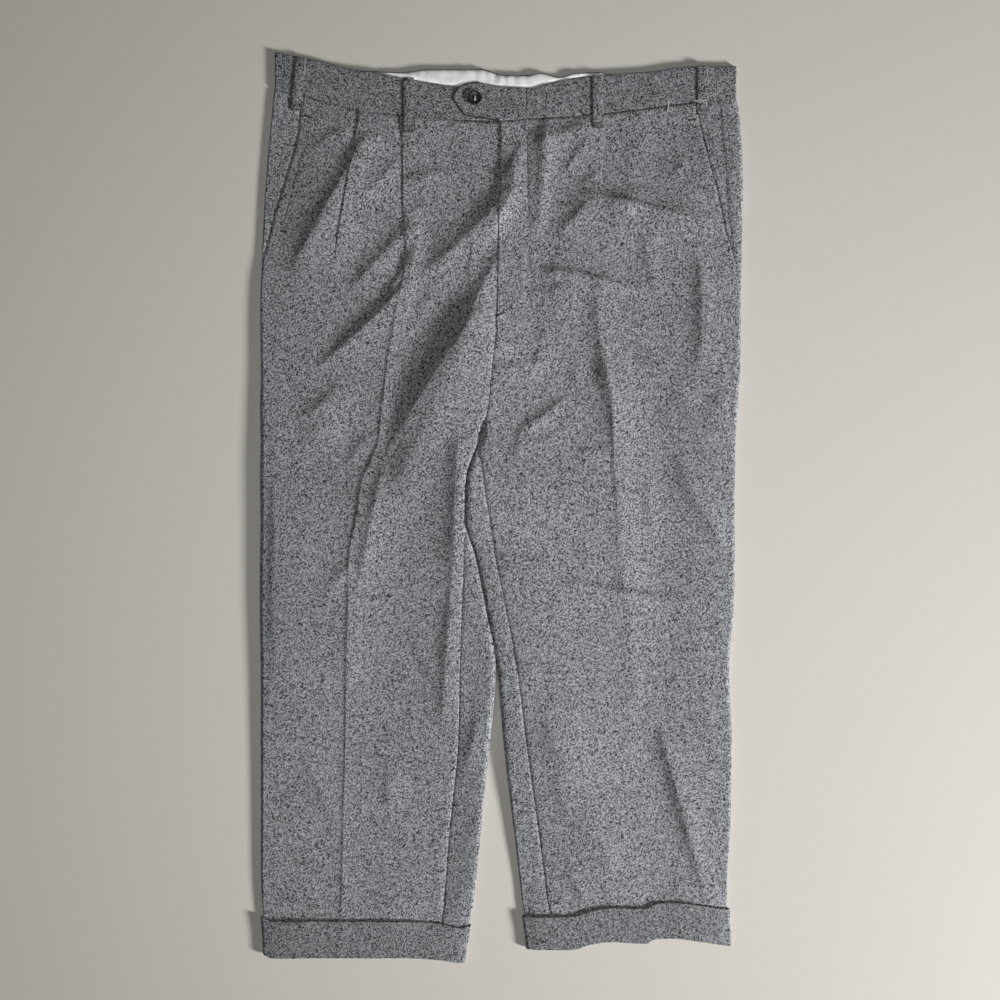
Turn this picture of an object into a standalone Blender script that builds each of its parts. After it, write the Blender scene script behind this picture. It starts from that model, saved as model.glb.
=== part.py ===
# Pleated dress trousers laid flat, front up. The waist points to +Y and the wearer's right half lies towards -X.
# The origin is on the surface they lie on, under the middle of the whole garment. Tables and sizes are in
# millimetres, and become metres where each object is made.
import bpy
import bmesh
import numpy as np
from math import pi

MM = 0.001
SHIFT = (-0.1, -0.2, 0.0)  # from the tables' middle to the origin

CLOTH = 1.2        # wall of the suiting
BAND = 1.6         # wall of the waistband and its tab, suiting over canvas
LINING = 1.0       # wall of the waistband's lining
STRAP = 1.4        # wall of a belt loop
GAP = 0.4          # between pieces that meet at a seam or lie on each other
TURN = 2.5         # radius of a laid edge, to the middle of the wall
LOFT = 1.8         # how much higher the middle of a leg stands than its edges
LOFT_REACH = 50.0  # from a laid edge in to that height
INNER_REACH = 40.0  # the same from a leg's inner edge
BELLY = 2.4        # how much the hips swell between the waist and the crotch
BELLY_REACH = 75.0
WAIST_DROP = 2.8   # how much the fronts sink towards the waist seam, under their pleats
DROP_REACH = 45.0
FLOOR = CLOTH / 2  # middle of the wall of the layer that lies on the surface
LAYER = CLOTH + GAP  # from the middle of one layer to the middle of the next
WAIST = 430.0      # height up the garment at which the waist seam is measured
CROTCH = 112.0     # where the leg seams start to part, a little above the crossing
CROTCH_RUN = 40.0  # length over which a flat middle becomes two rounded inner edges
BEND_TOP = 300.0   # from here up the rows of the cloth bend to the waist seam
FLY_END = 213.0    # height at which the two fronts lie over each other in full; below it they part to a plain seam
FLY_LAP = 10.0     # how far the right front runs on under the left one
FLY_WIDTH = 18.0   # how much of the left front is lifted by that

# One row for each section across the wearer's right half: y, then x of the outer edge, the small pleat, the
# pressed crease, the centre or inside-leg seam, and the line where the two legs touch or the leg's inner edge.
RIGHT_SECTIONS = ("y edge tuck crease seam inner", (
    (450, -232, -141, -99, 3, 3),
    (400, -238, -148, -99, 4, 4),
    (340, -245, -159, -99, 2, 2),
    (280, -249, -170, -96, 1, 1),
    (220, -251, -180, -106, 0, 0),
    (160, -251, -190, -117, -6, -6),
    (120, -252, -197, -122, -10, -10),
    (80, -252, -202, -127, -21, -21),
    (40, -253, -205, -144, -33, -33),
    (0, -253, -207, -150, -36, -34),
    (-40, -254, -208, -158, -36, -23),
    (-100, -255, -209, -160, -38, -11),
    (-160, -255, -210, -162, -40, -1),
    (-240, -256, -212, -164, -42, -8),
    (-320, -257, -214, -167, -50, -16),
    (-400, -258, -216, -169, -57, -24),
    (-482, -256, -218, -174, -63, -36),
))
LEFT_SECTIONS = ("y edge tuck crease seam inner", (
    (450, 248, 152, 110, 3, 3),
    (400, 255, 161, 110, 4, 4),
    (340, 258, 168, 107, 2, 2),
    (280, 257, 172, 103, 1, 1),
    (220, 257, 176, 101, 0, 0),
    (160, 257, 180, 112, -6, -6),
    (120, 255, 183, 119, -10, -10),
    (80, 253, 185, 122, -19, -21),
    (40, 253, 186, 124, -15, -33),
    (0, 253, 187, 127, -9, -34),
    (-40, 254, 188, 127, -3, -23),
    (-100, 253, 189, 131, 9, -11),
    (-160, 249, 190, 137, 20, -1),
    (-240, 253, 196, 144, 30, 6),
    (-320, 253, 201, 152, 41, 15),
    (-400, 250, 205, 157, 52, 25),
    (-470, 256, 208, 161, 60, 32),
))
# Pocket mouth and side seam, as the way along the cloth from the outer edge: positive on top, negative beneath.
RIGHT_SIDE = ("y mouth side", (
    (450, 30, -28), (400, 31, -28), (350, 22, -28), (320, 13, -28), (300, 9, -28), (280, 4, -28),
    (262, 1.5, -28), (240, 0, -28), (215, -2, -28), (190, -4.5, -28), (165, -12, -28), (140, -20, -28),
    (115, -28, -28), (-490, -28, -28),
))
LEFT_SIDE = ("y mouth side", (
    (450, 46, 17), (400, 43, 22), (360, 36, 21), (340, 30, 20), (320, 25, 18), (300, 20, 15), (280, 13, 12),
    (265, 9, 9), (250, 5, 5), (225, 1, 1), (195, -2, -2), (160, -4.5, -4.5), (110, -8, -8), (-490, -8, -8),
))
# Lines across the garment: x, then y.
WAIST_SEAM = ("x y", (
    (-232, 450), (-197, 442), (-172, 436), (-142, 428), (-100, 424), (-44, 419), (0, 417.6), (38, 420), (97, 424),
    (150, 430), (205, 437), (248, 441),
))
BAND_TOP = ("x y", (
    (-230, 487), (-186, 478), (-159, 471), (-125, 466), (-93, 460), (-48, 453), (0, 451), (34, 450), (49, 454),
    (81, 461), (112, 464), (159, 467), (200, 472), (247, 473),
))
BACK_SEAM = ("x y", ((-232, 450), (-160, 437), (-100, 433), (0, 430), (100, 432), (180, 435), (248, 441)))
BACK_TOP = ("x y", (
    (-230, 487), (-186, 477), (-159, 471), (-127, 469), (-102, 468), (-71, 471), (-19, 471), (8, 465), (29, 465),
    (44, 467), (65, 463), (81, 467), (107, 468), (120, 466), (159, 467), (200, 472), (247, 473),
))
RIGHT_HEM = ("x y", ((-257, -476), (-247, -481), (-195, -480), (-106, -480), (-65, -482), (-40, -486), (-30, -483)))
LEFT_HEM = ("x y", (
    (30, -471), (81, -471), (101, -465), (123, -462), (160, -464), (172, -459), (190, -458), (222, -462), (256, -468),
))
CUFF_DEPTH = ("x y", ((-257, 42), (-60, 41), (-30, 39), (30, 37), (100, 38), (170, 40), (256, 41)))

# The largest folds: x, y at the start, middle and end of each crest, the reach of its flank towards -X or up the
# garment, that of its other flank, and how far it rises.
FOLDS = ("x0 y0 x1 y1 x2 y2 left right rise", (
    (-127, 424, -178, 336, -228, 230, 16, 40, 4.8),
    (-88, 318, -126, 283, -170, 233, 13, 22, 3.2),
    (-92, 262, -139, 208, -212, 146, 13, 24, 4.6),
    (-8, 320, -47, 287, -99, 249, 15, 26, 3.8),
    (-16, 246, -72, 146, -150, 0, 17, 38, 6.4),
    (-152, 155, -178, 113, -206, 58, 18, 24, 2.6),
    (-131, 94, -155, -50, -161, -239, 46, 34, 3.4),
    (-46, 96, -55, -44, -59, -224, 12, 18, 3.4),
    (107, 426, 71, 406, 25, 389, 13, 16, 2.2),
    (62, 356, 122, 341, 206, 330, 14, 36, 4.8),
    (40, 262, 94, 258, 164, 234, 13, 22, 3.8),
    (100, 240, 115, 140, 124, 40, 13, 22, 4.2),
    (108, 136, 129, -23, 153, -261, 14, 56, 3.6),
    (-10, 162, 30, 160, 78, 172, 12, 15, 2.2),
    (21, 97, 50, 109, 79, 138, 12, 16, 2.6),
    (150, 189, 182, 153, 225, 121, 13, 17, 2.2),
    (189, 73, 215, 14, 258, -57, 14, 20, 2.4),
    (-2, -36, 96, -64, 225, -89, 13, 22, 3.2),
    (26, -120, 80, -277, 135, -432, 40, 58, 4.8),
    (170, -208, 197, -305, 233, -432, 15, 24, 3.0),
    (240, -130, 247, -250, 248, -377, 26, 14, 2.0),
))
FOLD_CREST = 1.6         # 1 would be a pressed edge, 2 is round
FOLD_ENDS = (0.3, 0.36)  # share of its length over which a fold comes up at its start and sinks at its end
FOLD_START = 16.0        # from a laid edge in to the folds' full height
FOLD_MARGIN = 40.0       # length over which they fade towards the waist seam and the turn-up

# Pleats: which line they start on, the depth and lay of their folded cloth at the waist seam, where the fold lets
# go, and how the columns of the cloth spread out below that, outwards from the line.
PLEAT_TURN = 0.9   # radius of a pleat's own folds, to the middle of the wall
PLEAT_ENDS = (5, 7)  # how far the columns before and after its folds stand off them
PLEAT_LEFT = 0.35  # share of its depth where the fold lets go
PLEATS = {
    "right": (
        {"line": "tuck", "depth": 12, "holds": 300, "opens": 262, "spread": (19, 13, 8.5, 5, 2, 0, -5, -11)},
        {"line": "crease", "depth": 20, "holds": 276, "opens": 226, "spread": (15, 9.5, 6, 3.5, 1.5, 0, -4, -11)},
    ),
    "left": (
        {"line": "tuck", "depth": 12, "holds": 405, "opens": 372, "spread": (19, 13, 8.5, 5, 2, 0, -5, -11)},
        {"line": "crease", "depth": 18, "holds": 376, "opens": 330, "spread": (12, 8, 5, 3, 1.5, 0, -4, -11)},
    ),
}
CREASE_RISE = 1.8            # height of the pressed crease over the folds it runs through
CREASE_FLANKS = (4.5, 15.0)  # its reach towards -X, where it is steep, and towards +X
CREASE_POINT = 1.5           # how sharp its crest is

# Rows of the cloth, as heights up the garment, down to the turn-ups.
ROWS = (430, 414, 394, 370, 344, 318, 294, 272, 250, 226, 198, 168, 138, 112, 92, 72, 48, 18, -18, -60, -108, -165,
        -230, -300, -370)
CUFF_ROWS = (20, 5, -20)     # rows at the turn-up, from its top edge
# Columns of the cloth, as ways round a laid edge, or as shares of the width between two lines.
EDGE_STEP = 1.1              # least way between two columns at a laid edge
SIDE_COLUMNS = (0.35, 0.7)   # from the laid edge to the small pleat
FLOOR_COLUMNS = (0.14, 0.29, 0.43, 0.57, 0.71, 0.86)
BAND_COLUMNS = (1, 0.955, 0.88, 0.8, 0.7, 0.6, 0.5, 0.4, 0.3, 0.2, 0.12, 0.05)
BAND_BACK_COLUMNS = (0.15, 0.3, 0.42, 0.5, 0.58, 0.66, 0.74, 0.82, 0.9, 1.0)
# From the pressed crease to the centre: share of the width, least way past the inner edge's own turn, and how far
# past the inside-leg seam a column may be pushed where the two come close.
CENTRE_COLUMNS = ("share turned push", (
    (0.13, 0, 0), (0.28, 0, 0), (0.44, 0, 0), (0.62, 0, 0), (0.8, 0, 0), (0.93, 4.0, 3.6), (0.98, 2.0, 1.8),
    (1.0, -9.0, 0),
))
LEG_END = 5.0                # how far the leg stops short of the hem, inside the turn-up's fold
CUFF_TURN = 0.8              # radius of the turn-up's fold at the hem
CUFF_HEIGHT = 40             # of a turn-up, where its rows are measured
FACING_TUCK = 10.0           # how far a pocket facing runs on under the front
FACING_LAP = 2.0             # and past the side seam

WOOL = {"color": (0.135, 0.142, 0.165), "roughness": 0.88}
LINING_CLOTH = {"color": (0.72, 0.71, 0.70), "roughness": 0.75}
HORN = {"color": (0.018, 0.018, 0.021), "roughness": 0.35}


def rise(t):
    """Smooth step from 0 to 1."""
    t = np.clip(t, 0.0, 1.0)
    return t * t * (3.0 - 2.0 * t)


def smooth_line(knots, values):
    """A smooth curve through a table's rows, as a function of its first column."""
    order = np.argsort(knots)
    k, v = np.asarray(knots, float)[order], np.asarray(values, float)[order]
    step, grade = np.diff(k), np.diff(v) / np.diff(k)
    slope = np.zeros(len(k))
    for i in range(1, len(k) - 1):
        if grade[i - 1] * grade[i] > 0:  # level at each turning point, so that the curve never swings past a row
            before, after = 2 * step[i] + step[i - 1], step[i] + 2 * step[i - 1]
            slope[i] = (before + after) / (before / grade[i - 1] + after / grade[i])
    slope[0], slope[-1] = grade[0], grade[-1]

    def at(p):
        p = np.clip(p, k[0], k[-1])
        i = np.clip(np.searchsorted(k, p) - 1, 0, len(k) - 2)
        h = k[i + 1] - k[i]
        t = (p - k[i]) / h
        a = v[i] * (1 + 2 * t) * (1 - t) ** 2 + h * slope[i] * t * (1 - t) ** 2
        b = v[i + 1] * t * t * (3 - 2 * t) - h * slope[i + 1] * t * t * (1 - t)
        return a + b

    return at


def lines_of(table):
    """The named columns of a table as smooth curves over its first column."""
    names, rows = table
    names = names.split()
    columns = np.array(rows, float).T
    return {name: smooth_line(columns[0], column) for name, column in zip(names[1:], columns[1:])}


class Half:
    """One half of the garment: its lines, and the direction from its outer edge inwards."""

    def __init__(self, name, sections, side, hem, nominal_hem):
        self.name = name
        self.inward = 1 if name == "right" else -1
        self.lines = lines_of(sections) | lines_of(side)
        self.hem = lines_of(hem)["y"]
        self.nominal_hem = nominal_hem
        self.nominal_cuff = nominal_hem + CUFF_HEIGHT

    def at(self, line, y):
        return float(self.lines[line](y))


HALVES = {
    "right": Half("right", RIGHT_SECTIONS, RIGHT_SIDE, RIGHT_HEM, -481.0),
    "left": Half("left", LEFT_SECTIONS, LEFT_SIDE, LEFT_HEM, -465.0),
}
waist_seam, band_top = lines_of(WAIST_SEAM)["y"], lines_of(BAND_TOP)["y"]
back_seam, back_top = lines_of(BACK_SEAM)["y"], lines_of(BACK_TOP)["y"]
cuff_depth = lines_of(CUFF_DEPTH)["y"]


def fold_lines():
    """Each fold as points along its crest, the direction of its left flank, its flanks' reach and its rise."""
    made = []
    for row in FOLDS[1]:
        fold = dict(zip(FOLDS[0].split(), row))
        t = np.linspace(0, 1, 17)
        bow = [2 * fold[c + "1"] - (fold[c + "0"] + fold[c + "2"]) / 2 for c in "xy"]
        points = np.stack([(1 - t) ** 2 * fold[c + "0"] + 2 * t * (1 - t) * b + t * t * fold[c + "2"]
                           for c, b in zip("xy", bow)], 1)
        run = points[-1] - points[0]
        leftward = np.array((-run[1], run[0])) / np.hypot(*run)
        if leftward[1] < leftward[0]:
            leftward = -leftward
        made.append((points, leftward, fold["left"], fold["right"], fold["rise"]))
    return made


FOLD_LINES = fold_lines()


def relief(x, y):
    """Height of all folds together at one place."""
    total = 0.0
    for points, leftward, left, right, height in FOLD_LINES:
        ahead = points[1:] - points[:-1]
        length = np.linalg.norm(ahead, axis=1)
        along = np.clip(((x - points[:-1, 0]) * ahead[:, 0] + (y - points[:-1, 1]) * ahead[:, 1]) / length ** 2, 0, 1)
        off = np.array((x, y)) - (points[:-1] + ahead * along[:, None])
        away = np.linalg.norm(off, axis=1)
        i = int(np.argmin(away))
        if away[i] > 3 * max(left, right):
            continue
        flank = right + (left - right) * rise(0.5 + off[i] @ leftward / min(left, right))
        share = (i + along[i]) / len(length)
        fade = rise(share / FOLD_ENDS[0]) * rise((1 - share) / FOLD_ENDS[1])
        total += height * np.exp(-(away[i] / flank) ** FOLD_CREST) * fade
    return float(total)


def parting(y):
    """0 where the halves meet flat at the centre, 1 where the legs are apart."""
    return float(rise((CROTCH - y) / CROTCH_RUN))


def floor_height(half, y):
    """Middle of the wall of the layer beneath: on the floor, and on the turn-up's own cloth near the hem."""
    return FLOOR + LAYER * float(rise((half.nominal_cuff + 20 - y) / 15))


def top_height(half, x, y):
    """Middle of the wall of the front, without its pleats and pressed crease."""
    edge_top = FLOOR + 2 * TURN
    from_edge = abs(x - half.at("edge", y)) - TURN - CLOTH / 2
    from_inner = abs(x - half.at("inner", y)) - TURN - CLOTH / 2
    part = parting(y)
    loft = LOFT * rise(from_edge / LOFT_REACH) * (1 - part + part * rise(from_inner / INNER_REACH))
    belly = BELLY * rise(from_edge / BELLY_REACH) * rise((WAIST - y) / 120) * rise((y - CROTCH / 2) / 190)
    drop = WAIST_DROP * rise((y - 340) / 80) * rise(from_edge / DROP_REACH)
    folds = relief(x, bent(half, x, y)) * rise(from_edge / FOLD_START)
    folds *= 1 - part + part * rise(from_inner / FOLD_START)
    folds *= rise((y - half.nominal_cuff) / FOLD_MARGIN) * rise((WAIST - 5 - y) / FOLD_MARGIN)
    return max(edge_top + loft + belly - drop + folds, FLOOR + LAYER + 0.3)


def wrap(half, y, way, line):
    """A place on the laid leg's section, at a way along the cloth from the outermost point of its edge or inner
    fold: above the fold if positive, on the floor if negative."""
    into = half.inward if line == "edge" else -half.inward
    low = floor_height(half, y)
    radius = (FLOOR + 2 * TURN - low) / 2
    tip = half.at(line, y) + into * (CLOTH / 2 + (LAYER if y < half.nominal_cuff + 8 else 0))
    if line == "inner":
        tip += into * GAP / 2
    quarter = pi * radius / 2
    if abs(way) <= quarter:
        x = tip + into * radius * (1 - np.cos(way / radius))
        return x, low + radius * (1 + np.sin(way / radius))
    x = tip + into * (radius + abs(way) - quarter)
    return x, top_height(half, x, y) if way > 0 else low


def seam_way(half, y):
    """Way along the cloth from the inner fold's outermost point to the inside-leg seam."""
    apart = abs(half.at("seam", y) - half.at("inner", y))
    if apart < TURN:
        return TURN * float(np.arccos(1 - apart / TURN))
    return apart - TURN + pi * TURN / 2


def bent(half, x, y, beneath=False):
    """The real height up the garment of a place in the row at y: rows bend to the waist seam and to the hem."""
    seam = back_seam(x) if beneath else waist_seam(x)
    at_waist = (seam - GAP - WAIST) * rise((y - BEND_TOP) / (WAIST - BEND_TOP))
    at_hem = (half.hem(x) - half.nominal_hem) * rise((half.nominal_cuff + 90 - y) / 70)
    return float(y + at_waist + at_hem)


def leg_rows(half):
    """The rows of a half, from the waist seam to the end inside the turn-up."""
    return ROWS + tuple(half.nominal_cuff + r for r in CUFF_ROWS) + (half.nominal_hem + LEG_END,)


def pleat_columns(half, pleat, y):
    """Across and up for the columns of one pleat in a row, and how far it is still folded."""
    held = float(rise((y - pleat["opens"]) / (pleat["holds"] - pleat["opens"])))
    waist_to_end = np.clip((y - pleat["opens"]) / (WAIST - pleat["opens"]), 0, 1)
    depth = pleat["depth"] * (PLEAT_LEFT + (1 - PLEAT_LEFT) * waist_to_end)
    r = PLEAT_TURN
    before, after = PLEAT_ENDS
    folded = ((before, 0), (-depth, 0), (-depth - r, r), (-depth, 2 * r), (0, 2 * r), (r, 3 * r), (0, 4 * r),
              (-after, 4 * r))
    across, up = [], []
    for (a, u), spread in zip(folded, pleat["spread"]):
        ridge = 0.0
        if pleat["line"] == "crease":
            ridge = pressed_crease(half, -half.inward * spread, y)
        across.append(spread + (a - spread) * held)
        up.append(ridge + (u - ridge) * held)
    return across, up, held


def crease_strength(half, y):
    """How sharp the pressed crease still is: it fades over the turn-up and, on the left, in the seat."""
    fade = 1.0 if half.name == "right" else float(rise((260 - y) / 120)) * 0.8
    return fade * float(1 - 0.6 * rise((half.nominal_cuff + 20 - y) / 30))


def pressed_crease(half, off, y):
    """Height of the pressed crease, off its line towards +X."""
    flank = CREASE_FLANKS[0] if off < 0 else CREASE_FLANKS[1]
    return CREASE_RISE * float(np.exp(-abs(off / flank) ** CREASE_POINT)) * crease_strength(half, y)


def seam_gap(way):
    """Half the gap at a side seam: a little wider where the seam runs round the laid edge."""
    return GAP / 2 + 0.25 * float(1 - rise((abs(way) - 6) / 4))


def front_row(half, y):
    """Middle of the wall along one row of a front, from the pocket mouth or side seam to the centre or inseam."""
    out = -half.inward
    start = half.at("mouth", y) + seam_gap(half.at("mouth", y))
    quarter = pi * TURN / 2
    points = []
    for k, way in enumerate((-quarter, -2.0, 0.0, 2.0, quarter)):
        points.append(wrap(half, y, max(way, start + 0.5 + EDGE_STEP * k), "edge"))
    points.insert(0, wrap(half, y, start, "edge"))
    edge_x = points[-1][0]
    small, main = PLEATS[half.name]
    lines = [half.at(p["line"], y) for p in (small, main)]
    across, up, held = pleat_columns(half, small, y)
    first = lines[0] + out * across[0]
    points += [(x, top_height(half, x, y)) for x in (edge_x + (first - edge_x) * f for f in SIDE_COLUMNS)]
    points += [(x, top_height(half, x, y) + u) for x, u in ((lines[0] + out * a, u) for a, u in zip(across, up))]

    def lifted(x, pleat_line, share, reach):
        past = (x - pleat_line) * half.inward - PLEAT_ENDS[0]
        return 4 * PLEAT_TURN * share * float(1 - rise(past / reach))

    small_held = held
    across, up, held = pleat_columns(half, main, y)
    for a, u in zip(across, up):
        x = lines[1] + out * a
        points.append((x, top_height(half, x, y) + u + lifted(x, lines[0], small_held, 36)))
    last_x, last_z = points[-1]
    ridge_left = last_z - top_height(half, last_x, y) - 4 * PLEAT_TURN * held

    part = parting(y)
    seam_end = half.at("seam", y) - half.inward * GAP / 2 + centre_lap(half, y)
    end = seam_way(half, y) + GAP / 2
    tip = wrap(half, y, 0.0, "inner")[0]
    begin = abs(last_x - tip) - TURN + quarter
    for f, turned, push in CENTRE_COLUMNS[1]:
        flat_x = last_x + (seam_end - last_x) * f
        way = max(turned, end + push) if turned else begin + (end - begin) * f
        wrapped = wrap(half, y, way, "inner")
        x = flat_x + (wrapped[0] - flat_x) * part
        z = top_height(half, flat_x, y) * (1 - part) + wrapped[1] * part
        extra = lifted(x, lines[1], held, 75) + ridge_left * (1 - held) * max(0.0, 1 - 6 * f)
        points.append((x, z + extra + fly_lift(half, x, y)))
    return [(x, bent(half, x, y, z < FLOOR + TURN), z) for x, z in points]


def centre_lap(half, y):
    """How far the right front runs on under the left one at the fly."""
    return FLY_LAP * float(rise((y - FLY_END - 11) / 20)) if half.name == "right" else 0.0


def fly_lift(half, x, y):
    """The left front lies over the right one along the fly."""
    if half.name == "right":
        return 0.0
    away = abs(x - half.at("seam", y))
    return (LAYER + 0.3) * float(rise((y - FLY_END + 28) / 28)) * float(1 - rise((away - FLY_WIDTH) / 22))


def back_row(half, y):
    """Middle of the wall along one row of a back: from the side seam along the floor, round the inner edge of the
    leg and over it to the inside-leg seam."""
    quarter = pi * (FLOOR + 2 * TURN - floor_height(half, y)) / 4
    start = half.at("side", y) - seam_gap(half.at("side", y))
    points = [wrap(half, y, start, "edge")]
    for k, way in enumerate((quarter, 2.0, 0.0, -2.0, -quarter)):
        points.append(wrap(half, y, min(way, start - 0.5 - EDGE_STEP * k), "edge"))
    part = parting(y)
    end = seam_way(half, y) - GAP / 2
    arcs = (-quarter, -2.0, 0.0, 2.0, quarter, (quarter + end) / 2)
    inner = [wrap(half, y, min(way, end - 0.8 * (len(arcs) - k)), "inner") for k, way in enumerate(arcs)]
    inner.append(wrap(half, y, end, "inner"))
    centre = half.at("seam", y) - half.inward * GAP / 2
    low = floor_height(half, y)
    laid = []
    for k, (x, z) in enumerate(inner):
        flat_x = centre - half.inward * 2.0 * (len(inner) - 1 - k)
        laid.append((flat_x + (x - flat_x) * part, low + (z - low) * part))
    floor_from, floor_to = points[-1][0], laid[0][0]
    points += [(floor_from + (floor_to - floor_from) * f, low) for f in FLOOR_COLUMNS]
    points += laid
    return [(x, bent(half, x, y, z < FLOOR + TURN), z) for x, z in points]


def facing_row(half, y):
    """Middle of the wall along one row of a pocket facing, just inside the front's own surface."""
    side, mouth = half.at("side", y), half.at("mouth", y)
    quarter = pi * TURN / 2
    if half.name == "left":
        ways = [side - FACING_LAP + (mouth + FACING_TUCK - side) * f for f in (0, 0.14, 0.35, 0.58, 0.8, 1)]
    else:
        end = mouth + FACING_TUCK
        arcs = (-14.0, -quarter, -2.0, 0.0, 2.0, quarter, (quarter + end) / 2)
        ways = [side - FACING_LAP] + [min(way, end - 0.9 * (len(arcs) - k)) for k, way in enumerate(arcs)] + [end]
    points = []
    for way in ways:
        x, z = wrap(half, y, way, "edge")
        angle = float(np.clip(way / TURN, -pi / 2, pi / 2))
        closed = half.name == "left" and way >= side and mouth - side < 1  # no mouth left for it to show in
        sunk = 0.0 if closed else LAYER
        x += half.inward * sunk * np.cos(angle)
        z -= sunk * np.sin(angle)
        points.append((x, z))
    return [(x, bent(half, x, y, z < FLOOR + TURN), z) for x, z in points]


def cuff_section(half, y):
    """The leg's closed section at a row of the turn-up, as middle points and outward directions."""
    quarter = pi * (FLOOR + 2 * TURN - floor_height(half, y)) / 4
    crease = half.at("crease", y)
    edge_x = wrap(half, y, quarter, "edge")[0]
    inner_x = wrap(half, y, quarter, "inner")[0]
    over = [crease - half.inward * a for a in (30, 15, 6, 3.5, 0, -4, -11, -30, -60)]
    top = [edge_x + (over[0] - edge_x) * f for f in (0, 0.35, 0.7)] + over + [over[-1] + (inner_x - over[-1]) * 0.6]
    points = [wrap(half, y, way, "edge") for way in (-quarter, -2.0, 0.0, 2.0)]
    for x in top:
        points.append((x, top_height(half, x, y) + pressed_crease(half, x - crease, y)))
    points += [wrap(half, y, way, "inner") for way in (quarter, 2.0, 0.0, -2.0, -quarter)]
    low_from, low_to = points[-1], points[0]
    points += [(low_from[0] + (low_to[0] - low_from[0]) * f, low_from[1]) for f in FLOOR_COLUMNS]
    points = np.array(points)
    ahead = np.roll(points, -1, 0) - points
    ahead /= np.linalg.norm(ahead, axis=1)[:, None]
    along = ahead + np.roll(ahead, 1, 0)
    along /= np.linalg.norm(along, axis=1)[:, None]
    outward = np.stack((-along[:, 1], along[:, 0]), 1) * half.inward
    return points, outward


def cuff_rows(half):
    """Rows of the turn-up: down its outside from the top edge, round its fold at the hem to the end of the leg."""
    r = CUFF_TURN
    outside = [(2 * r, share, 0.0) for share in (1.0, 0.7, 0.4, 0.12)]
    fold = [(r + r * np.cos(a), 0.0, r - r * np.sin(a)) for a in np.linspace(0, pi, 5)]
    rows = []
    for out, share, more in outside + fold:
        y = half.nominal_hem + CUFF_HEIGHT * share + more
        points, outward = cuff_section(half, max(y, half.nominal_hem + LEG_END))
        rows.append([(x + nx * out, half.hem(x) + cuff_depth(x) * share + more, z + nz * out)
                     for (x, z), (nx, nz) in zip(points, outward)])
    return rows


def normals_of(grid, closed):
    """Unit normals of a grid of points, from the directions of the cloth along and across it."""
    def directions(axis, loops):
        ahead = np.roll(grid, -1, axis) - grid
        ahead /= np.maximum(np.linalg.norm(ahead, axis=-1, keepdims=True), 1e-9)
        behind = np.roll(ahead, 1, axis)
        both = ahead + behind
        if not loops:
            first, last = [slice(None)] * 2, [slice(None)] * 2
            first[axis], last[axis] = 0, -1
            both[tuple(first)] = ahead[tuple(first)]
            both[tuple(last)] = behind[tuple(last)]
        return both / np.maximum(np.linalg.norm(both, axis=-1, keepdims=True), 1e-9)

    normal = np.cross(directions(0, False), directions(1, closed))
    return normal / np.linalg.norm(normal, axis=-1, keepdims=True)


def make_material(name, look):
    material = bpy.data.materials.new(name)
    material.use_nodes = True
    shader = material.node_tree.nodes["Principled BSDF"]
    shader.inputs["Base Color"].default_value = look["color"] + (1.0,)
    shader.inputs["Roughness"].default_value = look["roughness"]
    shader.inputs["Metallic"].default_value = 0.0
    material.diffuse_color = look["color"] + (1.0,)
    return material


def make_object(name, mesh, look):
    """An object at the scene's origin, from a bmesh in millimetres."""
    bmesh.ops.recalc_face_normals(mesh, faces=mesh.faces)
    bmesh.ops.translate(mesh, verts=mesh.verts, vec=SHIFT)
    bmesh.ops.scale(mesh, verts=mesh.verts, vec=(MM, MM, MM))
    data = bpy.data.meshes.new(name)
    mesh.to_mesh(data)
    mesh.free()
    data.materials.append(make_material(name, look))
    data.shade_smooth()
    data.set_sharp_from_angle(angle=0.8)
    placed = bpy.data.objects.new(name, data)
    bpy.context.scene.collection.objects.link(placed)
    return placed


def make_sheet(name, rows, wall, look, closed=False):
    """A closed solid: a grid of middle points with half the wall on each side of it."""
    grid = np.array(rows, float)
    offset = normals_of(grid, closed) * wall / 2
    mesh = bmesh.new()
    sides = [[[mesh.verts.new(p) for p in row] for row in grid + offset * sign] for sign in (1, -1)]
    last_row, columns = len(grid) - 1, len(grid[0])
    spans = columns if closed else columns - 1
    for side in sides:
        for j in range(last_row):
            for i in range(spans):
                k = (i + 1) % columns
                mesh.faces.new((side[j][i], side[j][k], side[j + 1][k], side[j + 1][i]))
    over, under = sides
    for j in (0, last_row):
        for i in range(spans):
            k = (i + 1) % columns
            mesh.faces.new((over[j][i], over[j][k], under[j][k], under[j][i]))
    for i in () if closed else (0, columns - 1):
        for j in range(last_row):
            mesh.faces.new((over[j][i], over[j + 1][i], under[j + 1][i], under[j][i]))
    return make_object(name, mesh, look)


def make_fronts():
    for half in HALVES.values():
        make_sheet("front_" + half.name, [front_row(half, y) for y in leg_rows(half)], CLOTH, WOOL)


def make_backs():
    for half in HALVES.values():
        make_sheet("back_" + half.name, [back_row(half, y) for y in leg_rows(half)], CLOTH, WOOL)


def make_facings():
    for half, end in ((HALVES["right"], 138), (HALVES["left"], 294)):
        rows = [facing_row(half, y) for y in leg_rows(half) if y >= end]
        make_sheet("pocket_facing_" + half.name, rows, CLOTH, WOOL)


BAND_OUTER = {"right": -232.0, "left": 249.0}  # where each half's strip folds over at the side
BAND_LOFT = 0.5       # how much higher the front waistband stands inwards of that
TAB_SEAM = 29.0       # upright seam where the left waistband starts and its tab is sewn on
UNDERLAP = 24.0       # how far the right waistband runs on under the tab
LAP_FALL = 45.0       # length over which the left waistband comes down to the right one's height


def band_height(x):
    """Middle of the wall of the front waistband; the left one rises to lie over the right one at the centre."""
    outer = BAND_OUTER["right" if x < 0 else "left"]
    return BAND / 2 + 2 * TURN + BAND_LOFT * float(rise((abs(outer - x) - TURN) / LOFT_REACH))


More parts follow.
